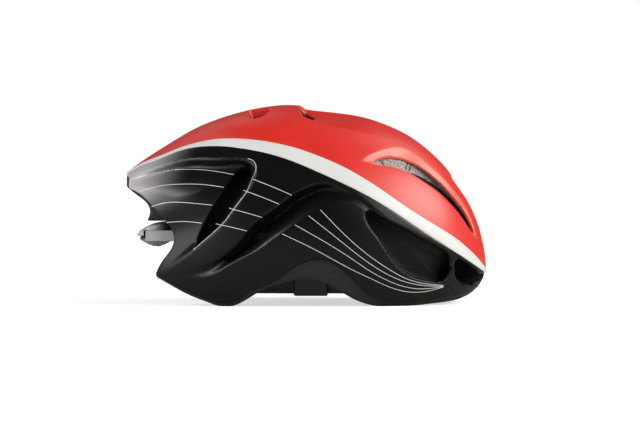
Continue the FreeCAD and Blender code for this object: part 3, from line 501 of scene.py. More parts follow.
def refined(points, tris, near, surface):
    """Each triangle with a chosen corner split in four, and its neighbours split to fit."""
    pairs = np.sort(np.stack([tris, np.roll(tris, -1, axis=1)], axis=2), axis=2)
    keys, index = np.unique(pairs[..., 0] * len(points) + pairs[..., 1], return_inverse=True)
    index = index.reshape(tris.shape)
    split = np.zeros(len(keys), bool)
    split[index[near[tris].any(axis=1)].ravel()] = True
    number = np.where(split, np.cumsum(split) - 1 + len(points), -1)
    ends = points[keys[split] // len(points)], points[keys[split] % len(points)]
    fresh = settle(surface, (ends[0] + ends[1]) / 2, 2, 0.4)
    mid = number[index]
    count = (mid >= 0).sum(axis=1)
    t, m = tris[count == 3], mid[count == 3]
    out = [tris[count == 0], m] + [np.stack([t[:, k], m[:, k], m[:, k - 1]], axis=1) for k in range(3)]
    for k in range(3):
        one, two = (count == 1) & (mid[:, k] >= 0), (count == 2) & (mid[:, k] < 0)
        t, m = np.roll(tris[one], -k, axis=1), mid[one, k]
        out += [np.stack([t[:, 0], m, t[:, 2]], axis=1), np.stack([m, t[:, 1], t[:, 2]], axis=1)]
        t, m = np.roll(tris[two], -k, axis=1), np.roll(mid[two], -k, axis=1)
        out += [np.stack([t[:, 0], t[:, 1], m[:, 1]], axis=1),
                np.stack([t[:, 0], m[:, 1], m[:, 2]], axis=1),
                np.stack([m[:, 2], m[:, 1], t[:, 2]], axis=1)]
    return np.vstack([points, fresh]), np.vstack(out)


def trimmed(points, tris, trim, surface):
    """The part of a surface where trim is negative, cut cleanly along trim = 0."""
    value = trim(*points.T)
    near = np.abs(value) < 0.3
    g = gradient(trim, points[near])
    moved = points[near] - (value[near] / np.maximum((g ** 2).sum(axis=1), 0.2))[:, None] * g
    points = points.copy()
    points[near] = moved
    value[near] = 0.0
    out = value > 0
    count = out[tris].sum(axis=1)
    keep = tris[(count == 0) & ~(value[tris] == 0).all(axis=1)]
    mixed = tris[(count == 1) | (count == 2)]
    edges, fresh, faces = {}, [], []

    def crossing(i, j):
        key = (min(i, j), max(i, j))
        if key not in edges:
            t = value[i] / (value[i] - value[j])
            edges[key] = len(points) + len(fresh)
            fresh.append(points[i] + t * (points[j] - points[i]))
        return edges[key]

    for tri in mixed:
        ring = []
        for i, j in zip(tri, np.roll(tri, -1)):
            if not out[i]:
                ring.append(i)
            if out[i] != out[j] and value[i] != 0 and value[j] != 0:
                ring.append(crossing(i, j))
        ring = [v for k, v in enumerate(ring) if v != ring[k - 1]]
        for k in range(1, len(ring) - 1):
            faces.append((ring[0], ring[k], ring[k + 1]))
    if fresh:
        points = np.vstack([points, settle(surface, np.array(fresh), 1, 0.3)])
    tris = np.vstack([keep, np.array(faces, int).reshape(-1, 3)])
    return used(points, tris)


def make_object(name, points, faces, material, sharp=None):
    """A smooth-shaded object from points in mm."""
    mesh = bpy.data.meshes.new(name)
    mesh.from_pydata((np.asarray(points) * MM).tolist(), [], [list(map(int, f)) for f in faces])
    mesh.materials.append(material)
    mesh.shade_smooth()
    if sharp is not None:
        mesh.set_sharp_from_angle(angle=math.radians(sharp))
    obj = bpy.data.objects.new(name, mesh)
    bpy.context.scene.collection.objects.link(obj)
    return obj


def attribute(obj, name, values):
    layer = obj.data.attributes.new(name, "FLOAT", "POINT")
    layer.data.foreach_set("value", np.asarray(values, np.float32))


# ---------------- materials

def new_material(name, colour, rough, **sockets):
    """A Principled material with its uniform values on the shader's own sockets."""
    mat = bpy.data.materials.new(name)
    mat.use_nodes = True
    shader = mat.node_tree.nodes["Principled BSDF"]
    shader.inputs["Base Color"].default_value = (*colour, 1)
    shader.inputs["Roughness"].default_value = rough
    for key, value in sockets.items():
        shader.inputs[key.replace("_", " ")].default_value = value
    return mat, mat.node_tree, shader


def node(tree, kind, inputs=None, **settings):
    n = tree.nodes.new(kind)
    for key, value in settings.items():
        setattr(n, key, value)
    for key, value in (inputs or {}).items():
        if isinstance(value, bpy.types.NodeSocket):
            tree.links.new(value, n.inputs[key])
        else:
            n.inputs[key].default_value = value
    return n


def object_place(tree):
    return node(tree, "ShaderNodeTexCoord").outputs["Object"]


def noise(tree, per_metre, detail=3.0, rough=0.5):
    inputs = {"Vector": object_place(tree), "Scale": per_metre, "Detail": detail, "Roughness": rough}
    return node(tree, "ShaderNodeTexNoise", inputs).outputs["Fac"]


def cells(tree, per_metre, feature="F1"):
    inputs = {"Vector": object_place(tree), "Scale": per_metre}
    return node(tree, "ShaderNodeTexVoronoi", inputs, feature=feature).outputs["Distance"]


def share_between(tree, value, lo, hi):
    """0 where the value is under lo, 1 where it is over hi."""
    inputs = {"Value": value, "From Min": lo, "From Max": hi}
    return node(tree, "ShaderNodeMapRange", inputs).outputs["Result"]


def painted_where(tree, name):
    """The value of a mesh attribute."""
    return node(tree, "ShaderNodeAttribute", attribute_name=name).outputs["Fac"]


def blend_colours(tree, factor, low, high, lo=0.3, hi=0.7):
    """Colour low where the factor is under lo, high where it is over hi."""
    t = share_between(tree, factor, lo, hi)
    mix = node(tree, "ShaderNodeMix", {"Factor": t}, data_type="RGBA")
    for socket, value in ((mix.inputs[6], low), (mix.inputs[7], high)):
        if isinstance(value, bpy.types.NodeSocket):
            tree.links.new(value, socket)
        else:
            socket.default_value = (*value, 1)
    return mix.outputs[2]


def set_bump(tree, shader, height, depth, strength=1.0):
    """Relief of the given depth, in mm, on the shader's normal."""
    bump = node(tree, "ShaderNodeBump", {"Height": height, "Distance": depth * MM, "Strength": strength})
    tree.links.new(bump.outputs["Normal"], shader.inputs["Normal"])


def scaled(colour, k):
    return tuple(min(c * k, 1.0) for c in colour)


def paint(name, colour, rough, second=None, tail_highlight_grey=None, bevel=None, **sockets):
    """Paint on thin shell: faint clouding and a fine orange peel.

    second is the colour below the stripe's edge; the one after it is a painted highlight, the grey that the
    attribute fade turns the black into towards the tail where the rear light's sheen falls; and bevel, a
    painted highlight too, is the lighter red where the attribute bevel is above 0, on the brow's fold band.
    """
    mat, tree, shader = new_material(name, colour, rough, **sockets)
    out = blend_colours(tree, noise(tree, 60), scaled(colour, 0.94), scaled(colour, 1.04))
    # painted highlight: the brow's fold band is a lighter, more orange red, as where the front light washes
    # it
    if bevel:
        out = blend_colours(tree, painted_where(tree, "bevel"), out, bevel, 0.0, 1.2)
    if second:
        edge = painted_where(tree, "stripe")
        light = blend_colours(tree, noise(tree, 60), scaled(second, 0.97), second)
        out = blend_colours(tree, edge, light, out, -0.12, 0.12)
    # painted highlight: the black turns grey towards the tail, where the rear light's sheen falls
    if tail_highlight_grey:
        out = blend_colours(tree, painted_where(tree, "fade"), out, tail_highlight_grey, 0.0, 1.0)
    tree.links.new(out, shader.inputs["Base Color"])
    set_bump(tree, shader, noise(tree, 900, 2.0), 0.02, 0.5)
    return mat


def beads(name, colour, rough, size=3.0, depth=0.22, pale=(1, 1, 1), lining_and_shade=(0, 0, 0)):
    """Moulded foam: rounded beads pressed together, with small pits where they meet.

    It is painted pale where the attribute brow is above 0, a painted light on the foam in the brow vents
    where the front light falls, and near black where intake is above -2: the intake's black lining, and
    painted shade inside the port, slot and channel holes and in the dark gap under the brow's lower lip.
    """
    mat, tree, shader = new_material(name, colour, rough, Specular_IOR_Level=0.22)
    edge = cells(tree, 1000 / size, "DISTANCE_TO_EDGE")
    tone = blend_colours(tree, edge, scaled(colour, 0.45), colour, 0.0, 0.10)
    grit = noise(tree, 1400, 4.0, 0.7)
    speck = blend_colours(tree, grit, scaled(colour, 0.6), scaled(colour, 1.7), 0.35, 0.68)
    mix = node(tree, "ShaderNodeMix", {"Factor": 0.5}, data_type="RGBA")
    tree.links.new(tone, mix.inputs[6])
    tree.links.new(speck, mix.inputs[7])
    # painted light: the foam in the brow vents is a paler copy, as where the front light falls on it
    lit = painted_where(tree, "brow")
    light = blend_colours(tree, edge, scaled(pale, 0.42), pale, 0.0, 0.12)
    out = blend_colours(tree, lit, mix.outputs[2], light, -0.6, 0.4)
    # near black: the intake's black lining, and painted shade where the foam lies deep in the port, slot
    # and channel holes and under the brow's lower lip
    lining_and_shade_mask = painted_where(tree, "intake")
    tree.links.new(blend_colours(tree, lining_and_shade_mask, out, lining_and_shade, -2.5, -1.5), shader.inputs["Base Color"])
    low = share_between(tree, edge, 0.0, 0.16)
    grain = {0: noise(tree, 1500, 3.0, 0.6), 1: 0.55, 2: low}
    grain = node(tree, "ShaderNodeMath", grain, operation="MULTIPLY_ADD").outputs[0]
    set_bump(tree, shader, grain, depth)
    return mat


def moulded(name, colour, rough, grain=1500, depth=0.04, end=None, **sockets):
    """Injection moulded plastic with a spark-eroded grain, of colour end where the attribute end is 1."""
    mat, tree, shader = new_material(name, colour, rough, **sockets)
    tone = blend_colours(tree, noise(tree, grain * 0.6, 4.0, 0.7), scaled(colour, 0.8), scaled(colour, 1.2))
    if end:
        tone = blend_colours(tree, painted_where(tree, "end"), tone, end, 0.2, 0.8)
    tree.links.new(tone, shader.inputs["Base Color"])
    set_bump(tree, shader, noise(tree, grain, 3.0, 0.6), depth)
    return mat


# bevel is a painted highlight: the lighter red of the brow's fold band
RED = paint("red_paint", (0.60, 0.018, 0.012), 0.40, second=(0.62, 0.62, 0.62), bevel=(0.78, 0.105, 0.070),
            Specular_IOR_Level=0.58)
# the black paint's grey towards the tail is a painted highlight of the rear light's sheen
BLACK = paint("black_paint", (0.0028, 0.0028, 0.0032), 0.30, tail_highlight_grey=(0.38, 0.36, 0.37),
              Specular_IOR_Level=0.20)
# also paints the highlight along the slot's edge
LINE_AND_HIGHLIGHT_PAINT = moulded("white_line", (0.62, 0.62, 0.62), 0.5)
# pale is painted light on the brow vents' foam; the near-black colour is the intake's lining and painted
# shade in the other vents
FOAM = beads("foam", (0.020, 0.0198, 0.020), 0.66, pale=(0.44, 0.395, 0.38), lining_and_shade=(0.006, 0.006, 0.006))


# ---------------- shells

SHELL_T = 2.0
ROLL, SEAM_ROLL = 1.7, 0.35
PITCH = 1.6


def rolled(points, normals, field, radius):
    """How far each point sinks where the skin turns in along the field's zero line."""
    value, g = field(*points.T), gradient(field, points)
    g -= (g * normals).sum(axis=1, keepdims=True) * normals
    distance = -value / np.maximum(np.linalg.norm(g, axis=1), 0.15)
    short = np.clip(radius - distance, 0, radius)
    return radius - np.sqrt(np.maximum(radius ** 2 - short ** 2, 0))


def make_shell(name, points, tris, trim, material):
    """(object, points before its edges roll in) of a shell of even thickness over the skin."""
    edge, seam = trim(*points.T)
    near = (np.abs(edge) < 3.4) & (seam < 3.0)
    p, t = refined(points, tris, near, body)
    p, t = trimmed(p, t, lambda x, y, z: np.maximum(*trim(x, y, z)), body)
    n = gradient(body, p, 0.6)
    n /= np.linalg.norm(n, axis=1, keepdims=True)
    sink = np.maximum(rolled(p, n, lambda x, y, z: trim(x, y, z)[0], ROLL),
                      rolled(p, n, lambda x, y, z: trim(x, y, z)[1], SEAM_ROLL))
    outer, inner, count = p - n * sink[:, None], p - n * SHELL_T, len(p)
    pairs = np.vstack([t[:, [0, 1]], t[:, [1, 2]], t[:, [2, 0]]])
    known = {(i, j) for i, j in pairs.tolist()}
    rim = [(i, j) for i, j in pairs.tolist() if (j, i) not in known]
    faces = t.tolist() + (t[:, ::-1] + count).tolist() + [(j, i, i + count, j + count) for i, j in rim]
    obj = make_object(name, np.vstack([outer, inner]), faces, material, sharp=38)
    flat = np.vstack([p, p])
    return obj, flat


skin_points, skin_quads = contour(body, PITCH, (-156, 0, -6), (154, 108, 170))
skin_points = settle(body, skin_points)
skin_tris = halves(skin_points, skin_quads)

upper, upper_flat = make_shell("upper_skin", skin_points, skin_tris, upper_trim, RED)
lower, lower_flat = make_shell("lower_skin", skin_points, skin_tris, lower_trim, BLACK)
liner_points, liner_quads = contour(liner, PITCH + 0.3, (-154, 0, -4), (152, 104, 168))
liner_points = settle(liner, liner_points, 2)
foam_tris = [tuple(map(int, face)) for face in halves(liner_points, liner_quads)]
foam = make_object("liner", liner_points, foam_tris, FOAM)
for obj, node_name, slot_name in ((upper, "upper_shell", "red_shell"),
                                  (lower, "lower_shell", "black_shell"),
                                  (foam, "foam_liner", "eps_foam")):
    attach(obj, "helmet")
    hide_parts(node_name)
attribute(upper, "stripe", upper_flat[:, 2] - STRIPE(upper_flat[:, 0]))
# painted highlight on the brow's fold band
attribute(upper, "bevel", side("bevel", upper_flat[:, 0], upper_flat[:, 2]))
# painted highlight: where the black paint turns grey towards the tail and upwards, standing in for the rear
# light's sheen
highlight_place = lower_flat[:, 0] + 0.35 * (100 - lower_flat[:, 2])
attribute(lower, "fade", ramp(-highlight_place, 96, 146) ** 1.3 * ramp(lower_flat[:, 2], 70, 96))
foam_x, foam_z = liner_points[:, 0], liner_points[:, 2]
outside = bowl(*liner_points.T) > 2
# painted shade: the foam inside the vent holes is painted near black, and in the intake this is its black
# lining
dark_maps = ("intake", "port", "slot_hole", "channel_hole")
painted = np.max([side(name, foam_x, foam_z) for name in dark_maps], axis=0)
# painted shadow: the dark gap under the brow's lower lip
painted = np.maximum(painted, 2 * side("shadow", foam_x, foam_z) - 2)
attribute(foam, "intake", np.where(outside, painted, -9))
# painted light: the foam in the brow vents is painted pale
attribute(foam, "brow", np.where(outside, side("brow", foam_x, foam_z) + 2, -9))

# ---------------- thin white lines on the black paint, and a painted highlight along the slot's edge

LINES = [
    [(-143.3, 103.3), (-121.9, 109.1), (-97.3, 111.7), (-81.1, 111.2), (-58.9, 107.8)],
    [(-137.4, 93.1), (-116.1, 98.7), (-102, 99.8), (-83.4, 99.6), (-67.1, 97.5)],
    [(-126.4, 81.2), (-116.1, 84.3), (-98.7, 84.9), (-76.4, 82.9)],
    [(-114.2, 68.4), (-97.3, 69.3), (-85.1, 68.1)],
    [(-43.9, 104.7), (-27.6, 98.4), (-11.3, 91.4)],
    [(-50.8, 95.2), (-36, 90.0), (-21.7, 84.1)],
    [(-62.4, 80.6), (-49, 77.2), (-35.6, 73.3)],
    [(-73.5, 67.8), (-60.7, 65.3), (-47.9, 62.2)],
    [(11.9, 79.6), (25.7, 65.1), (40.5, 51.1), (55.3, 39.2), (69.6, 29.6), (82.1, 22.8),
     (98.7, 18.2), (112.7, 16.6)],
    [(2.3, 74.7), (22, 59.2), (44.2, 41.4), (56.5, 32.6), (69.6, 25.0), (84, 19.4),
     (99, 16.6), (112.7, 16.0)],
    [(-8.8, 67.3), (14.6, 54), (36.8, 40), (51.6, 29.9), (69.6, 20.2), (85, 15.2),
     (99, 14.2), (112.7, 15.6)],
    [(-19.1, 59.9), (7.1, 47.3), (36.8, 31.1), (55.3, 22.1), (69.6, 15.6), (86.2, 11.6),
     (98.7, 12.0), (112.7, 15.2)],
]
LINE_WIDTH = 0.46
# painted highlight: a thin light line along the slot's sharp rolled edge, where it catches the rear light
SLOT_HIGHLIGHT_LINE = [(-47.5, 121.0), (-43.0, 119.2), (-40.6, 115.0), (-41.0, 110.5), (-43.4, 105.0),
             (-47.4, 95.6), (-55.8, 84.0), (-66.4, 69.6), (-78.8, 57.6), (-91.6, 46.6)]


def skin_y(x, z):
    """Half width of the skin at each (x, z)."""
    low, high = np.zeros_like(x), np.full_like(x, 115.0)
    for _ in range(24):
        mid = (low + high) / 2
        within = body(x, mid, z) < 0
        low, high = np.where(within, mid, low), np.where(within, high, mid)
    return high


def foam_y(x, z):
    """Where a line along Y from the -Y side first meets the foam, at each (x, z)."""
    return np.array([foam_tree.ray_cast((u, -120, w), (0, 1, 0))[0].y for u, w in zip(x, z)])


def painted_strip(line, width=LINE_WIDTH, on_foam=False):
    """Points and quads of a thin strip along an (x, z) curve on the -Y side, on the skin or on the foam."""
    c = spline(line, step=1.2)
    y = foam_y(c[:, 0], c[:, 1]) if on_foam else -skin_y(c[:, 0], c[:, 1])
    p = np.stack([c[:, 0], y, c[:, 1]], axis=1)
    n = gradient(body, p, 0.5)
    n /= np.linalg.norm(n, axis=1, keepdims=True)
    across = np.cross(n, np.gradient(p, axis=0))
    across /= np.linalg.norm(across, axis=1, keepdims=True)
    rows = [p + across * k * width / 2 for k in (-1, 0, 1)]
    if not on_foam:
        rows = [settle(body, row, 2, 0.2) for row in rows]
    rows = [row + n * (0.2 if on_foam else 0.09) for row in rows]
    count = len(p)
    quads = [(r * count + k, r * count + k + 1, (r + 1) * count + k + 1, (r + 1) * count + k)
             for r in range(2) for k in range(count - 1)]
    return np.vstack(rows), quads


def joined(parts):
    """One list of points and faces from several."""
    points, faces, base = [], [], 0
    for p, f in parts:
        points.append(p)
        faces += [tuple(i + base for i in face) for face in f]
        base += len(p)
    return np.vstack(points), faces


def mirrored(p, faces):
    return p * [1, -1, 1], [face[::-1] for face in faces]


# the white lines and the painted highlight along the slot's edge
strips = [painted_strip(line) for line in LINES + [SLOT_HIGHLIGHT_LINE]]
lines = make_object("white_lines_and_slot_highlight", *joined(strips + [mirrored(*strip) for strip in strips]), LINE_AND_HIGHLIGHT_PAINT)
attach(lines, "helmet")
FOAM_SEAMS = [[(60.6, 119.4), (62.6, 117.0), (64.4, 114.6)], [(85.0, 120.0), (83.4, 116.0), (81.6, 111.4)],
              [(87.4, 118.0), (86.2, 114.4), (84.4, 110.0)]]
foam_tree = BVHTree.FromPolygons(liner_points.tolist(), foam_tris)
strips = [painted_strip(line, 1.0, on_foam=True) for line in FOAM_SEAMS]
seams = make_object("foam_seams", *joined(strips + [mirrored(*strip) for strip in strips]), BLACK)
# the seams get none of the painted tail highlight
attribute(seams, "fade", np.zeros(len(seams.data.vertices)))
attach(seams, "helmet")


# ---------------- woven and knitted materials

def vector_attribute(obj, name, values):
    layer = obj.data.attributes.new(name, "FLOAT_VECTOR", "POINT")
    layer.data.foreach_set("vector", np.asarray(values, np.float32).ravel())


def cloth_place(tree):
    """Millimetres along and across the cloth, from the attribute weave."""
    place = node(tree, "ShaderNodeAttribute", attribute_name="weave").outputs["Vector"]
    parts = node(tree, "ShaderNodeSeparateXYZ", {0: place})
    return parts.outputs[0], parts.outputs[1]


def calc(tree, operation, *values):
    return node(tree, "ShaderNodeMath", dict(enumerate(values)), operation=operation).outputs[0]


def ridge(tree, value, period):
    """0 to 1 and back over each period."""
    return calc(tree, "ABSOLUTE", calc(tree, "SINE", calc(tree, "MULTIPLY", value, math.pi / period)))


def webbing(name, colour, rough, rib=1.25, pick=1.0, depth=0.16, **sockets):
    """Polyester webbing: warp ribs along the strap, the picks slanting to and fro over each pair."""
    mat, tree, shader = new_material(name, colour, rough, **sockets)
    along, across = cloth_place(tree)
    slant = calc(tree, "PINGPONG", across, 2 * rib)
    yarn = ridge(tree, calc(tree, "MULTIPLY_ADD", slant, 0.8, along), pick)
    height = calc(tree, "MULTIPLY_ADD", ridge(tree, across, rib), 0.55, calc(tree, "MULTIPLY", yarn, 0.45))
    fuzz = calc(tree, "MULTIPLY_ADD", noise(tree, 5000, 2.0), 0.22, height)
    tone = blend_colours(tree, fuzz, scaled(colour, 0.30), scaled(colour, 1.5), 0.25, 1.0)
    tree.links.new(tone, shader.inputs["Base Color"])
    set_bump(tree, shader, fuzz, depth)
    return mat


def knit(name, colour, rough, cell=1.5, depth=0.22, **sockets):
    """Brushed knitted cloth with small open holes in staggered rows."""
    mat, tree, shader = new_material(name, colour, rough, **sockets)
    along, across = cloth_place(tree)
    one = ridge(tree, calc(tree, "ADD", along, across), cell)
    two = ridge(tree, calc(tree, "SUBTRACT", along, across), cell)
    mesh = calc(tree, "SUBTRACT", 1.0, calc(tree, "MULTIPLY", calc(tree, "MULTIPLY", one, two), 0.9))
    fuzz = calc(tree, "MULTIPLY_ADD", noise(tree, 3500, 4.0, 0.7), 0.35, mesh)
    tone = blend_colours(tree, fuzz, scaled(colour, 0.22), scaled(colour, 1.3), 0.2, 1.15)
    cloud = blend_colours(tree, noise(tree, 90), (0.86, 0.86, 0.86), (1.0, 1.0, 1.0))
    mix = node(tree, "ShaderNodeMix", {"Factor": 1.0}, data_type="RGBA", blend_type="MULTIPLY")
    tree.links.new(tone, mix.inputs[6])
    tree.links.new(cloud, mix.inputs[7])
    tree.links.new(mix.outputs[2], shader.inputs["Base Color"])
    set_bump(tree, shader, fuzz, depth)
    return mat


def steel(name, colour, rough):
    """Turned and plated steel with fine lathe marks."""
    mat, tree, shader = new_material(name, colour, rough, Metallic=1.0)
    marks = noise(tree, 2600, 5.0, 0.75)
    tree.links.new(blend_colours(tree, marks, scaled(colour, 0.8), colour), shader.inputs["Base Color"])
    set_bump(tree, shader, marks, 0.015)
    return mat


WEBBING = webbing("webbing", (0.020, 0.020, 0.021), 0.74, Sheen_Weight=0.25, Sheen_Roughness=0.5)
PAD = knit("pad_knit", (0.034, 0.034, 0.036), 0.88, Sheen_Weight=0.45, Sheen_Roughness=0.45)
THREAD = moulded("thread", (0.16, 0.16, 0.165), 0.7, grain=6000, depth=0.05)
HOOK = moulded("hook_tape", (0.030, 0.030, 0.031), 0.7, grain=2400, depth=0.30)
NYLON = moulded("black_nylon", (0.010, 0.010, 0.0105), 0.42, grain=1800, depth=0.03)
FLEX = moulded("flexible_nylon", (0.014, 0.014, 0.015), 0.5, grain=1300, depth=0.03, end=(0.23, 0.22, 0.22))
GREY = moulded("grey_nylon", (0.38, 0.365, 0.365), 0.46, grain=900, depth=0.07)
GREY_GRIP = moulded("grey_grip", (0.30, 0.285, 0.285), 0.62, grain=1300, depth=0.08)
RUBBER = moulded("rubber", (0.016, 0.016, 0.016), 0.72, grain=2200, depth=0.05)
STEEL = steel("steel", (0.62, 0.61, 0.59), 0.28)


# ---------------- hard parts that keep their CAD shape

CAD_FINISH = {
    NYLON: ("left_rack right_rack rear_cradle height_clip dial_base drive_pinion left_temple_pin "
            "right_temple_pin left_divider right_divider left_cam_lever right_cam_lever "
            "strap_anchors buckle_socket buckle_plug front_buckle_arm rear_buckle_arm"),
    RUBBER: "strap_keeper",
    HOOK: "hook_discs",
    STEEL: "housing_screws dial_screw click_spring left_cam_pin right_cam_pin",
}
SMALL_EDGE = {"drive_pinion": 0.12, "left_rack": 0.12, "right_rack": 0.12, "click_spring": 0.12,
              "left_cam_pin": 0.12, "right_cam_pin": 0.12, "hook_discs": 0.15}


def finish_cad(name, material):
    """Puts a material and softly broken edges on a CAD node."""
    obj = NODES[name]
    obj.data.materials.clear()
    obj.data.materials.append(material)
    bevel = obj.modifiers.new("edges", "BEVEL")
    bevel.width, bevel.segments = SMALL_EDGE.get(name, 0.35) * MM, 2
    bevel.limit_method, bevel.angle_limit = "ANGLE", math.radians(35)


for material, names in CAD_FINISH.items():
    for name in names.split():
        finish_cad(name, material)


# ---------------- straps, bands and stitches

def unit(v):
    return v / np.maximum(np.linalg.norm(v, axis=-1, keepdims=True), 1e-9)


def sweep(path, across, section):
    """(points, faces, places) of a section of (across, up) offsets carried along a path."""
    along = unit(np.gradient(path, axis=0))
    across = unit(across - (across * along).sum(axis=1, keepdims=True) * along)
    up = np.cross(along, across)
    run = np.r_[0.0, np.cumsum(np.linalg.norm(np.diff(path, axis=0), axis=1))]
    n, m = len(path), len(section)
    points = (path[:, None] + section[None, :, :1] * across[:, None] + section[None, :, 1:] * up[:, None])
    faces = [(i * m + j, i * m + (j + 1) % m, (i + 1) * m + (j + 1) % m, (i + 1) * m + j)
             for i in range(n - 1) for j in range(m)]
    faces += [tuple(range(m))[::-1], tuple((n - 1) * m + j for j in range(m))]
    places = np.stack([np.repeat(run, m), np.tile(section[:, 0], n), np.zeros(n * m)], axis=1)
    return points.reshape(-1, 3), faces, places


def strap_section(width, thick, lip, columns=11):
    """A flat closed section with rounded sides and edges thicker by lip."""
    v = np.linspace(-width / 2 + 0.35, width / 2 - 0.35, columns)
    half = thick / 2 + lip * np.maximum(0, 1 - (width / 2 - np.abs(v)) / 1.3)
    top = np.stack([v, half], axis=1)
    side_edge = np.array([(width / 2, half[-1] * 0.5), (width / 2, -half[-1] * 0.5)])
    return np.vstack([top, side_edge, top[::-1] * [1, -1], -side_edge])


def swept_piece(name, body_name, node_name, path, across, section, material):
    points, faces, places = sweep(path, across, section)
    obj = make_object(name, points, faces, material, sharp=50)
    vector_attribute(obj, "weave", places)
    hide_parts(node_name)
    if body_name:
        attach(obj, body_name)
    return obj


def tacks(path, across, at, rows=3, columns=8, width=12.0, lift=0.85):
    """Bar tacks: rows of stitches sewn across a strap, on both faces, starting at a share of its length."""
    along = unit(np.gradient(path, axis=0))
    run = np.r_[0.0, np.cumsum(np.linalg.norm(np.diff(path, axis=0), axis=1))]
    marks = []
    for row in range(rows):
        i = min(int(np.searchsorted(run, at * run[-1] + row * 2.2)), len(path) - 1)
        a = across[i]
        up = np.cross(along[i], a)
        for k in range(columns):
            offset = (k + 0.5) / columns * width - width / 2
            for face in (1, -1):
                marks.append((path[i] + offset * a + face * lift * up, a, face * up))
    return marks


def stitches(name, body_name, marks, half=0.72, wide=0.26, high=0.2):
    """Short threads: each a small spindle at a place, lying along t and standing out along n."""
    p, t, n = (np.array(v, float) for v in zip(*marks))
    t, n = unit(t), unit(n)
    s = np.cross(n, t)
    corners = np.stack([p - t * half, p + t * half, p + s * wide, p - s * wide, p + n * high, p - n * high],
                       axis=1)
    base = np.arange(len(p))[:, None, None] * 6
    tris = np.array([(1, 2, 4), (2, 0, 4), (0, 3, 4), (3, 1, 4),
                     (2, 1, 5), (0, 2, 5), (3, 0, 5), (1, 3, 5)])
    obj = make_object(name, corners.reshape(-1, 3), (base + tris).reshape(-1, 3), THREAD)
    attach(obj, body_name)


WEB_W, WEB_T, WEB_MIDDLE, STRAP_X, DIVIDER_Y = 15.0, 1.3, 17.5, 4.0, 66.5
BUCKLE_Y, BUCKLE_Z, BUCKLE_TILT = 37.5, 99.0, math.radians(-42.0)
WEB_SECTION = strap_section(WEB_W, WEB_T - 0.1, 0.12)
WEB_MARKS = []


def buckle_point(along):
    return BUCKLE_Y + along * math.cos(BUCKLE_TILT), BUCKLE_Z + along * math.sin(BUCKLE_TILT)


def side_strap(name, sign, ax, ay, way):
    start, near = ay - 1.3, STRAP_X + way * 8.0
    plan = [(ax + way * 8.5, start), (ax, start), (ax - way * 8, start),
            ((ax + near) / 2, (start + DIVIDER_Y) / 2), (near + way * 8, DIVIDER_Y), (near, DIVIDER_Y)]
    c = spline(plan, step=1.5)
    path = np.stack([c[:, 0], sign * c[:, 1], np.full(len(c), WEB_MIDDLE)], axis=1)
    across = np.tile([0.0, 0.0, 1.0], (len(path), 1))
    swept_piece(f"{name}_webbing", "helmet", name, path, across, WEB_SECTION, WEBBING)
    WEB_MARKS.extend(tacks(path, across, 0.42))


def chin_strap(name, profile):
    c = spline(profile, step=1.5)
    path = np.stack([np.full(len(c), STRAP_X), c[:, 0], c[:, 1]], axis=1)
    across = np.tile([1.0, 0.0, 0.0], (len(path), 1))
    swept_piece(f"{name}_webbing", "helmet", name, path, across, WEB_SECTION, WEBBING)
    WEB_MARKS.extend(tacks(path, across, 0.24) + tacks(path, across, 0.80))


for name, sign in SIDES:
    side_strap(f"{name}_front_strap", sign, 46.0, 72.0, 1)
    side_strap(f"{name}_rear_strap", sign, -50.0, 66.0, -1)
chin_strap("left_chin_strap", [(66.5, 19.0), (66.5, 31.0), (65.4, 52.0), (62.6, 70.0), buckle_point(26.0),
                               buckle_point(15.5), buckle_point(9.0)])
chin_strap("right_chin_strap", [(-66.5, 19.0), (-66.5, 31.0), (-65.4, 52.0), (-62.6, 75.0), (-52.0, 98.0),
                                (-34.0, 114.5), (-12.0, 123.0), buckle_point(-34.0), buckle_point(-25.5),
                                buckle_point(-20.0)])
stitches("strap_stitches", "helmet", WEB_MARKS)

BAND_Z, BAND_SECTION = 56.5, strap_section(9.0, 1.1, 0.28, 9)
LEFT_RACK_X, RIGHT_RACK_X = -116.0, -132.0
RACK_END_Y, BEND_X, BEND_Y = 36.0, -62.0, 60.0    # where a band starts and stops bending


def head_band(name, sign, rack_x):
    """The flexible band from a rack to the temple pin."""
    plan = [(rack_x, 33.2), (rack_x + 4, RACK_END_Y), (-104, 41.0), (-94, 42.8), (-86, 44.2), (-76, 50.5),
            (-60, 61.5), (-40, 69.0), (-10, 73.2), (20, 73.2), (42, 70.0), (54, 66.9), (60, 66.4),
            (67, 66.4)]
    c = spline(plan, step=1.5)
    path = np.stack([c[:, 0], sign * c[:, 1], np.full(len(c), BAND_Z)], axis=1)
    across = np.tile([0.0, 0.0, 1.0], (len(path), 1))
    obj = swept_piece(f"{name}_band_strip", None, f"{name}_band", path, across, BAND_SECTION, FLEX)
    attribute(obj, "end", [ramp(-v.co.x / MM, 95, 99) for v in obj.data.vertices])
    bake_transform(obj)


head_band("left", 1, LEFT_RACK_X)
head_band("right", -1, RIGHT_RACK_X)


# ---------------- padded pieces

PAD_HALF, PAD_MIDDLE = 2.75, 4.6
PAD_PITCH = 1.9
PAD_SEAM = 3.4                           # from a pad's outline to its seam


def bowl_layer(x, y, z):
    """Distance from the surface that runs through the middle of the pads, positive towards the foam."""
    e = 0.5
    f = bowl(x, y, z, PAD_MIDDLE)
    gx = bowl(x + e, y, z, PAD_MIDDLE) - f
    gy = bowl(x, np.abs(y) + e, z, PAD_MIDDLE) - f
    gz = bowl(x, y, z + e, PAD_MIDDLE) - f
    return f * e / np.sqrt(gx ** 2 + gy ** 2 + gz ** 2 + 1e-6)


def nape_layer(x, y, z):
    return np.hypot(x + 2.0, y) - 90.2


def within(a, b, half_a, half_b, corner=9.0):
    """Positive inside a rounded rectangle."""
    return -smax(np.abs(a) - half_a, np.abs(b) - half_b, corner)


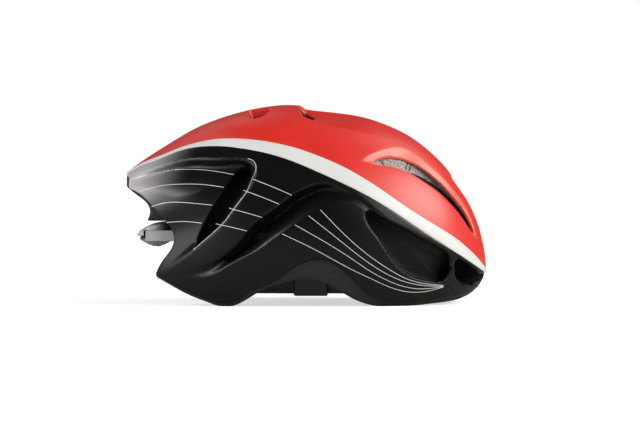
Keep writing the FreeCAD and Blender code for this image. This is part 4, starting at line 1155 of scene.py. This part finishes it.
class PadShape:
    """A pad's outline in its own (a, b) coordinates over the layer that it lies on."""

    def __init__(self, name, layer, flat, outline, half, lo, hi,
                 body_name="helmet", paired=True, channels=()):
        self.name, self.layer, self.flat, self.outline, self.half = name, layer, flat, outline, half
        self.lo, self.hi, self.body_name, self.paired, self.channels = lo, hi, body_name, paired, channels

    def inside(self, x, y, z):
        return self.outline(*self.flat(x, y, z))

    def field(self, x, y, z):
        rim = np.maximum(0, 1 - self.inside(x, y, z) / 5.0)
        return (np.sqrt((self.layer(x, y, z) / self.half) ** 2 + rim ** 2) - 1) * self.half


def over_top(x, y, z):
    return x, np.abs(y)


def on_wall(x, y, z):
    return x, z


def round_end(x, y, z):
    return np.abs(y), z


def brow_outline(a, b):
    return within(a, b - 46.0 + 0.0016 * a ** 2, 54.0, 10.5, 8.0)


PADS = [
    PadShape("brow_pad", bowl_layer, round_end, brow_outline, PAD_HALF,
             (58, 0, 28), (116, 62, 62), paired=False, channels=(19,)),
    PadShape("crown_pad", bowl_layer, over_top, lambda a, b: within(a - 10, b, 65, 8.6, 6.0), PAD_HALF,
             (-60, 0, 88), (80, 14, 141), paired=False, channels=(-14, 34)),
    PadShape("crown_pad", bowl_layer, over_top, lambda a, b: within(a - 13, b - 38, 52, 7.6, 6.0), PAD_HALF,
             (-46, 24, 88), (72, 52, 138), channels=(-6, 32)),
    PadShape("temple_pad", bowl_layer, on_wall, lambda a, b: within(a - 10, b - 78, 33, 9.4), PAD_HALF,
             (-28, 48, 64), (48, 84, 92)),
    PadShape("rear_pad", bowl_layer, round_end, lambda a, b: within(a - 36, b - 89, 19, 10.4), PAD_HALF,
             (-118, 12, 74), (-56, 60, 104)),
    PadShape("nape_pad", nape_layer, round_end, lambda a, b: within(a - 22, b - 49, 13.4, 10.4, 7.0), 2.1,
             (-98, 4, 34), (-70, 40, 64), body_name="fit_frame"),
]


def pad_meshes(shape):
    """(name, points, triangles) for each pad of this shape."""
    points, quads = contour(shape.field, PAD_PITCH, shape.lo, shape.hi)
    points = settle(shape.field, points, 3)
    tris = halves(points, quads)
    if not shape.paired:
        return [(shape.name, points, tris)]
    found = []
    for name, sign in SIDES:
        p, t = used(points, tris[(points[tris][:, :, 1] * sign > 0).all(axis=1)])
        found.append((f"{name}_{shape.name}", p, t))
    return found


def coordinates(obj):
    co = np.empty(len(obj.data.vertices) * 3, np.float32)
    obj.data.vertices.foreach_get("co", co)
    return co.reshape(-1, 3).astype(float)


def set_coordinates(obj, points):
    obj.data.vertices.foreach_set("co", np.asarray(points, np.float32).ravel())
    obj.data.update()


CLOTH_FRAMES = 20


def inflate(objects, pressure=4.0, most=0.65):
    """The cloth of each pad blown up a little by its filling, by up to most mm, then kept as the mesh."""
    scene = bpy.context.scene
    for obj in objects:
        settings = obj.modifiers.new("cloth", "CLOTH").settings
        settings.use_pressure, settings.uniform_pressure_force = True, pressure
        settings.effector_weights.gravity = 0.0
        settings.quality = 4
    for step in range(1, CLOTH_FRAMES + 1):
        scene.frame_set(step)
    graph_now = bpy.context.evaluated_depsgraph_get()
    results = [coordinates(obj.evaluated_get(graph_now)) for obj in objects]
    for obj, new in zip(objects, results):
        old = coordinates(obj)
        move = np.nan_to_num(new - old)
        size = np.linalg.norm(move, axis=1, keepdims=True)
        obj.modifiers.clear()
        set_coordinates(obj, old + move * np.minimum(1, most * MM / np.maximum(size, 1e-9)))
    scene.frame_set(1)


def subdivided(obj):
    """One level of subdivision, kept in the mesh."""
    obj.modifiers.new("smooth", "SUBSURF").levels = 1
    graph_now = bpy.context.evaluated_depsgraph_get()
    mesh = bpy.data.meshes.new_from_object(obj.evaluated_get(graph_now))
    obj.modifiers.clear()
    obj.data = mesh


def sew(obj, shape):
    """Sinks the pad's seam and channels, and gives the places of the stitches along the seam."""
    p = coordinates(obj) / MM
    inset, layer = shape.inside(*p.T), shape.layer(*p.T)
    a, b = shape.flat(*p.T)
    groove = np.exp(-((inset - PAD_SEAM) / 0.9) ** 2)
    for at in shape.channels:
        groove = np.maximum(groove, np.exp(-((a - at) / 1.1) ** 2) * ramp(inset, 2.0, 4.0))
    n = unit(gradient(shape.layer, p))
    front = ramp(-layer, 0.2, 1.2)
    p = p + n * (0.75 * groove * front)[:, None]
    p -= n * (0.35 * ramp(inset, 4.5, 8.5) * front * np.cos(a / 2.3) * 0.35)[:, None]
    set_coordinates(obj, p * MM)
    vector_attribute(obj, "weave", np.stack([a, b, 0 * a], axis=1))
    chosen = p[(np.abs(inset - PAD_SEAM) < 0.8) & (layer < -0.6)]
    ca, cb = shape.flat(*chosen.T)
    marks = []
    for sign in ((1, -1) if not shape.paired else (0,)):
        mask = chosen[:, 1] * sign >= 0
        here, ha, hb = chosen[mask], ca[mask], cb[mask]
        marks += seam_marks(shape, here, ha, hb)
    return marks


def seam_marks(shape, here, a, b, spacing=2.5):
    """Evenly spaced places on the seam line, with its direction and the outward direction."""
    turn = np.arctan2(b - (b.max() + b.min()) / 2, a - (a.max() + a.min()) / 2)
    line = here[np.argsort(turn)]
    if len(line) < 12:
        return []
    line = settle(lambda x, y, z: shape.inside(x, y, z) - PAD_SEAM, line, 2)
    smooth = np.stack([np.convolve(line[:, k], np.ones(5) / 5, "valid") for k in range(3)], axis=1)
    run = np.r_[0.0, np.cumsum(np.linalg.norm(np.diff(smooth, axis=0), axis=1))]
    at = np.arange(0, run[-1], spacing)
    places = np.stack([np.interp(at, run, smooth[:, k]) for k in range(3)], axis=1)
    if len(places) < 3:
        return []
    out = -unit(gradient(shape.layer, places))
    return list(zip(places + out * 0.12, np.gradient(places, axis=0), out))


def make_pads():
    made = []
    for shape in PADS:
        for name, points, tris in pad_meshes(shape):
            made.append((make_object(f"{name}_cushion", points, tris, PAD), name, shape))
    inflate([obj for obj, _, _ in made])
    marks = {"helmet": [], "fit_frame": []}
    for obj, name, shape in made:
        subdivided(obj)
        marks[shape.body_name] += sew(obj, shape)
        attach(obj, shape.body_name)
        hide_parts(name)
    stitches("pad_stitches", "helmet", marks["helmet"])
    stitches("nape_stitches", "fit_frame", marks["fit_frame"])


make_pads()


def make_chin_pad():
    """A soft sleeve round the strap: crowned, pinched at both hems and open for the strap."""
    c = spline([(-64.0, 62.0), (-62.6, 75.0), (-52.0, 98.0), (-40.0, 109.8)], step=1.6)
    path = np.stack([np.full(len(c), STRAP_X), c[:, 0], c[:, 1]], axis=1)
    n, m = len(path), 40
    along = unit(np.gradient(path, axis=0))
    up = np.cross(along, [1.0, 0, 0])
    share = np.linspace(0, 1, n)
    hem = np.minimum(1, np.minimum(share, 1 - share) * n * 1.6 / 5.0)
    full = 0.62 + 0.38 * np.sqrt(np.clip(1 - (1 - hem) ** 2, 0, 1))
    waist = 1 - 0.05 * np.abs(np.cos(share * math.pi * 5)) * hem
    turn = 2 * math.pi * np.arange(m) / m
    ca, sa = np.cos(turn), np.sin(turn)
    outer, inner = (np.stack([np.sign(ca) * np.abs(ca) ** p * wide, np.sign(sa) * np.abs(sa) ** q * high],
                             axis=1)
                    for p, wide, q, high in ((0.55, 10.7, 0.75, 2.95), (0.3, 7.9, 0.5, 1.05)))
    rings, places = [], []
    for part, shape_2d in ((range(n), outer), (range(n - 1, -1, -1), inner)):
        for i in part:
            size = np.array([full[i] ** 0.35, full[i] * waist[i]]) if shape_2d is outer else np.ones(2)
            s = shape_2d * size
            rings.append(path[i] + s[:, :1] * [1.0, 0, 0] + s[:, 1:] * up[i])
            places.append(np.stack([np.full(m, i * 1.6), s[:, 0], np.zeros(m)], axis=1))
    count = len(rings)
    faces = [(i * m + j, i * m + (j + 1) % m, (i + 1) % count * m + (j + 1) % m, (i + 1) % count * m + j)
             for i in range(count) for j in range(m)]
    obj = make_object("chin_pad_sleeve", np.vstack(rings), faces, PAD, sharp=70)
    vector_attribute(obj, "weave", np.vstack(places))
    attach(obj, "helmet")
    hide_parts("chin_pad")
    marks = [(path[i] + [side_way * 9.3, 0, 0] + face * up[i] * 1.9 * full[i], along[i], face * up[i])
             for i in range(3, n - 3) for side_way in (1, -1) for face in (-1, 1)]
    stitches("chin_pad_stitches", "helmet", marks)


make_chin_pad()


# ---------------- dial cover and wheel

DIAL_X = -124.0
COVER_SIDE = np.array([(-141.0, 55.1), (-141.5, 56.6), (-137.0, 60.5), (-128.0, 65.0), (-118.0, 67.0),
                       (-112.0, 66.6), (-111.5, 60.0), (-112.3, 55.1)])


def convex(a, b, outline, soft=0.8):
    """Distance to a convex outline that runs clockwise, positive outside it."""
    value = None
    for p, q in zip(outline, np.roll(outline, -1, axis=0)):
        d = (q - p) / np.hypot(*(q - p))
        edge = -(d[1] * (a - p[0]) - d[0] * (b - p[1]))
        value = edge if value is None else smax(value, edge, soft)
    return value


def cover_field(x, y, z):
    side_form = convex(x, z, COVER_SIDE)
    ay = np.abs(y)
    plan = (((np.abs(x + 126.5) / 15.0) ** 2.5 + (ay / 33.5) ** 2.5) ** 0.4 - 1) * 15.0
    outer = smax(side_form, plan, 2.4)
    fold = 59.0 + (x + 138) * 0.055
    outer = outer + 0.45 * (1 - ramp(z, fold - 0.5, fold + 0.3))
    room = smax(smax(np.abs(x - DIAL_X) - 9.3, z - 60.6, 0.5), ay - 29.0, 1.0)
    front = np.maximum(np.maximum(np.abs(x + 108) - 8.0, z - 59.2), ay - 18.3)
    left_way = np.maximum(np.abs(x - LEFT_RACK_X) - 1.9, -y)
    right_way = np.maximum(np.abs(x - RIGHT_RACK_X) - 1.9, y)
    ways = np.maximum(np.minimum(left_way, right_way), z - 61.0)
    return smax(outer, -np.minimum(np.minimum(room, front), ways), 0.4)


COVER_PITCH = 0.75
cover_points, cover_quads = contour(cover_field, COVER_PITCH, (-144, -37, 52), (-108, 37, 70), False)
cover_points = settle(cover_field, cover_points, 3, 0.4)
cover = make_object("dial_cover_shell", cover_points, halves(cover_points, cover_quads), GREY, sharp=45)
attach(cover, "fit_frame")
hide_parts("dial_cover")

WHEEL_PROFILE = [(3.3, 46.9), (3.8, 47.3), (4.6, 47.5), (6.4, 48.1), (8.6, 49.1), (10.8, 50.3),
                 (12.6, 51.4), (13.8, 52.2), (14.3, 52.6), (14.3, 52.9), (11.9, 52.95), (11.8, 50.9),
                 (4.0, 50.2), (4.0, 52.9), (1.5, 52.9), (1.5, 48.9), (3.3, 48.9)]


def make_wheel():
    """The dial: a dished rubber knob with a scalloped, tapering flank."""
    m, flutes = 360, 30
    turn = 2 * math.pi * np.arange(m) / m
    rows = []
    for r, z in WHEEL_PROFILE:
        grip = 0.8 if r > 8.0 and z < 52.5 and r != 11.8 else 0.0
        reach = r - grip * (0.5 - 0.5 * np.cos(flutes * turn)) ** 2
        rows.append(np.stack([DIAL_X + reach * np.cos(turn), reach * np.sin(turn), np.full(m, z)], axis=1))
    count = len(rows)
    faces = [(i * m + j, (i + 1) % count * m + j, (i + 1) % count * m + (j + 1) % m, i * m + (j + 1) % m)
             for i in range(count) for j in range(m)]
    wheel = make_object("dial_knob", np.vstack(rows), faces, GREY_GRIP, sharp=40)
    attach(wheel, "dial")
    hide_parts("dial_wheel")


make_wheel()


# ---------------- camera, light and floor

def aim(obj, target):
    obj.rotation_euler = (Vector(target) - obj.location).to_track_quat("-Z", "Y").to_euler()


def sun(name, towards, angle, strength, colour=(1, 1, 1)):
    """A very large soft light far away in the given direction."""
    data = bpy.data.lights.new(name, "SUN")
    data.energy, data.angle, data.color = strength, math.radians(angle), colour
    obj = bpy.data.objects.new(name, data)
    obj.rotation_euler = Vector(towards).to_track_quat("Z", "Y").to_euler()
    bpy.context.scene.collection.objects.link(obj)


def softbox(name, place, target, size, power):
    data = bpy.data.lights.new(name, "AREA")
    data.energy, data.size = power, size
    obj = bpy.data.objects.new(name, data)
    obj.location = place
    aim(obj, target)
    bpy.context.scene.collection.objects.link(obj)


camera_data = bpy.data.cameras.new("camera")
camera = bpy.data.objects.new("camera", camera_data)
bpy.context.scene.collection.objects.link(camera)
DISTANCE, ELEVATION = 5.0, math.radians(1.5)      # m, and above the level
VIEW_WIDTH, NEARER = 530.56, 10.0                 # the view is this wide this much nearer than its centre
SENSOR = 36.0
camera_data.sensor_width = SENSOR
camera_data.lens = SENSOR * (DISTANCE - NEARER * MM) / (VIEW_WIDTH * MM)
centre = Vector((11.606, 0.0, 73.8639)) * MM
camera.location = centre + Vector((0, -math.cos(ELEVATION), math.sin(ELEVATION))) * DISTANCE
aim(camera, centre)
bpy.context.scene.camera = camera

FLOOR_HALF = 6.0                                  # m
floor_mesh = bpy.data.meshes.new("floor")
floor_corners = [(a * FLOOR_HALF, b * FLOOR_HALF, 0) for a, b in ((-1, -1), (1, -1), (1, 1), (-1, 1))]
floor_mesh.from_pydata(floor_corners, [], [(0, 1, 2, 3)])
pale, pale_tree, pale_shader = new_material("floor_white", (0.62, 0.62, 0.62), 0.9,
                                            Emission_Color=(1, 1, 1, 1))
on_camera = node(pale_tree, "ShaderNodeLightPath").outputs["Is Camera Ray"]
glow = node(pale_tree, "ShaderNodeMath", {0: on_camera, 1: 0.62}, operation="MULTIPLY").outputs[0]
pale_tree.links.new(glow, pale_shader.inputs["Emission Strength"])
floor_mesh.materials.append(pale)
floor = bpy.data.objects.new("floor", floor_mesh)
bpy.context.scene.collection.objects.link(floor)

world = bpy.data.worlds.new("studio")
world.use_nodes = True
tree = world.node_tree
background = tree.nodes["Background"]
background.inputs["Color"].default_value = (1, 1, 1, 1)
seen = node(tree, "ShaderNodeLightPath").outputs["Is Camera Ray"]
level = node(tree, "ShaderNodeMapRange", {"Value": seen, "To Min": 0.09, "To Max": 1.0}).outputs["Result"]
tree.links.new(level, background.inputs["Strength"])
bpy.context.scene.world = world
bpy.context.scene.view_settings.view_transform = "Standard"
sun("key", (0.86, -0.13, 0.47), 32, 2.7, (1.0, 0.95, 0.87))
sun("rear", (-0.70, -0.34, 0.56), 13, 0.9)
sun("behind", (-0.28, 0.72, 0.62), 30, 0.1)
sun("top_front", (0.55, 0.45, 0.70), 30, 0.5, (1.0, 0.95, 0.88))
softbox("low_rear", (-0.58, -0.42, 0.26), (-0.13, -0.02, 0.08), 0.50, 2.4)
softbox("tail", (-0.46, -0.26, 0.05), (-0.14, -0.03, 0.065), 0.30, 0.8)
softbox("front", (0.60, -0.50, 0.34), (0.08, 0, 0.09), 0.4, 2.4)
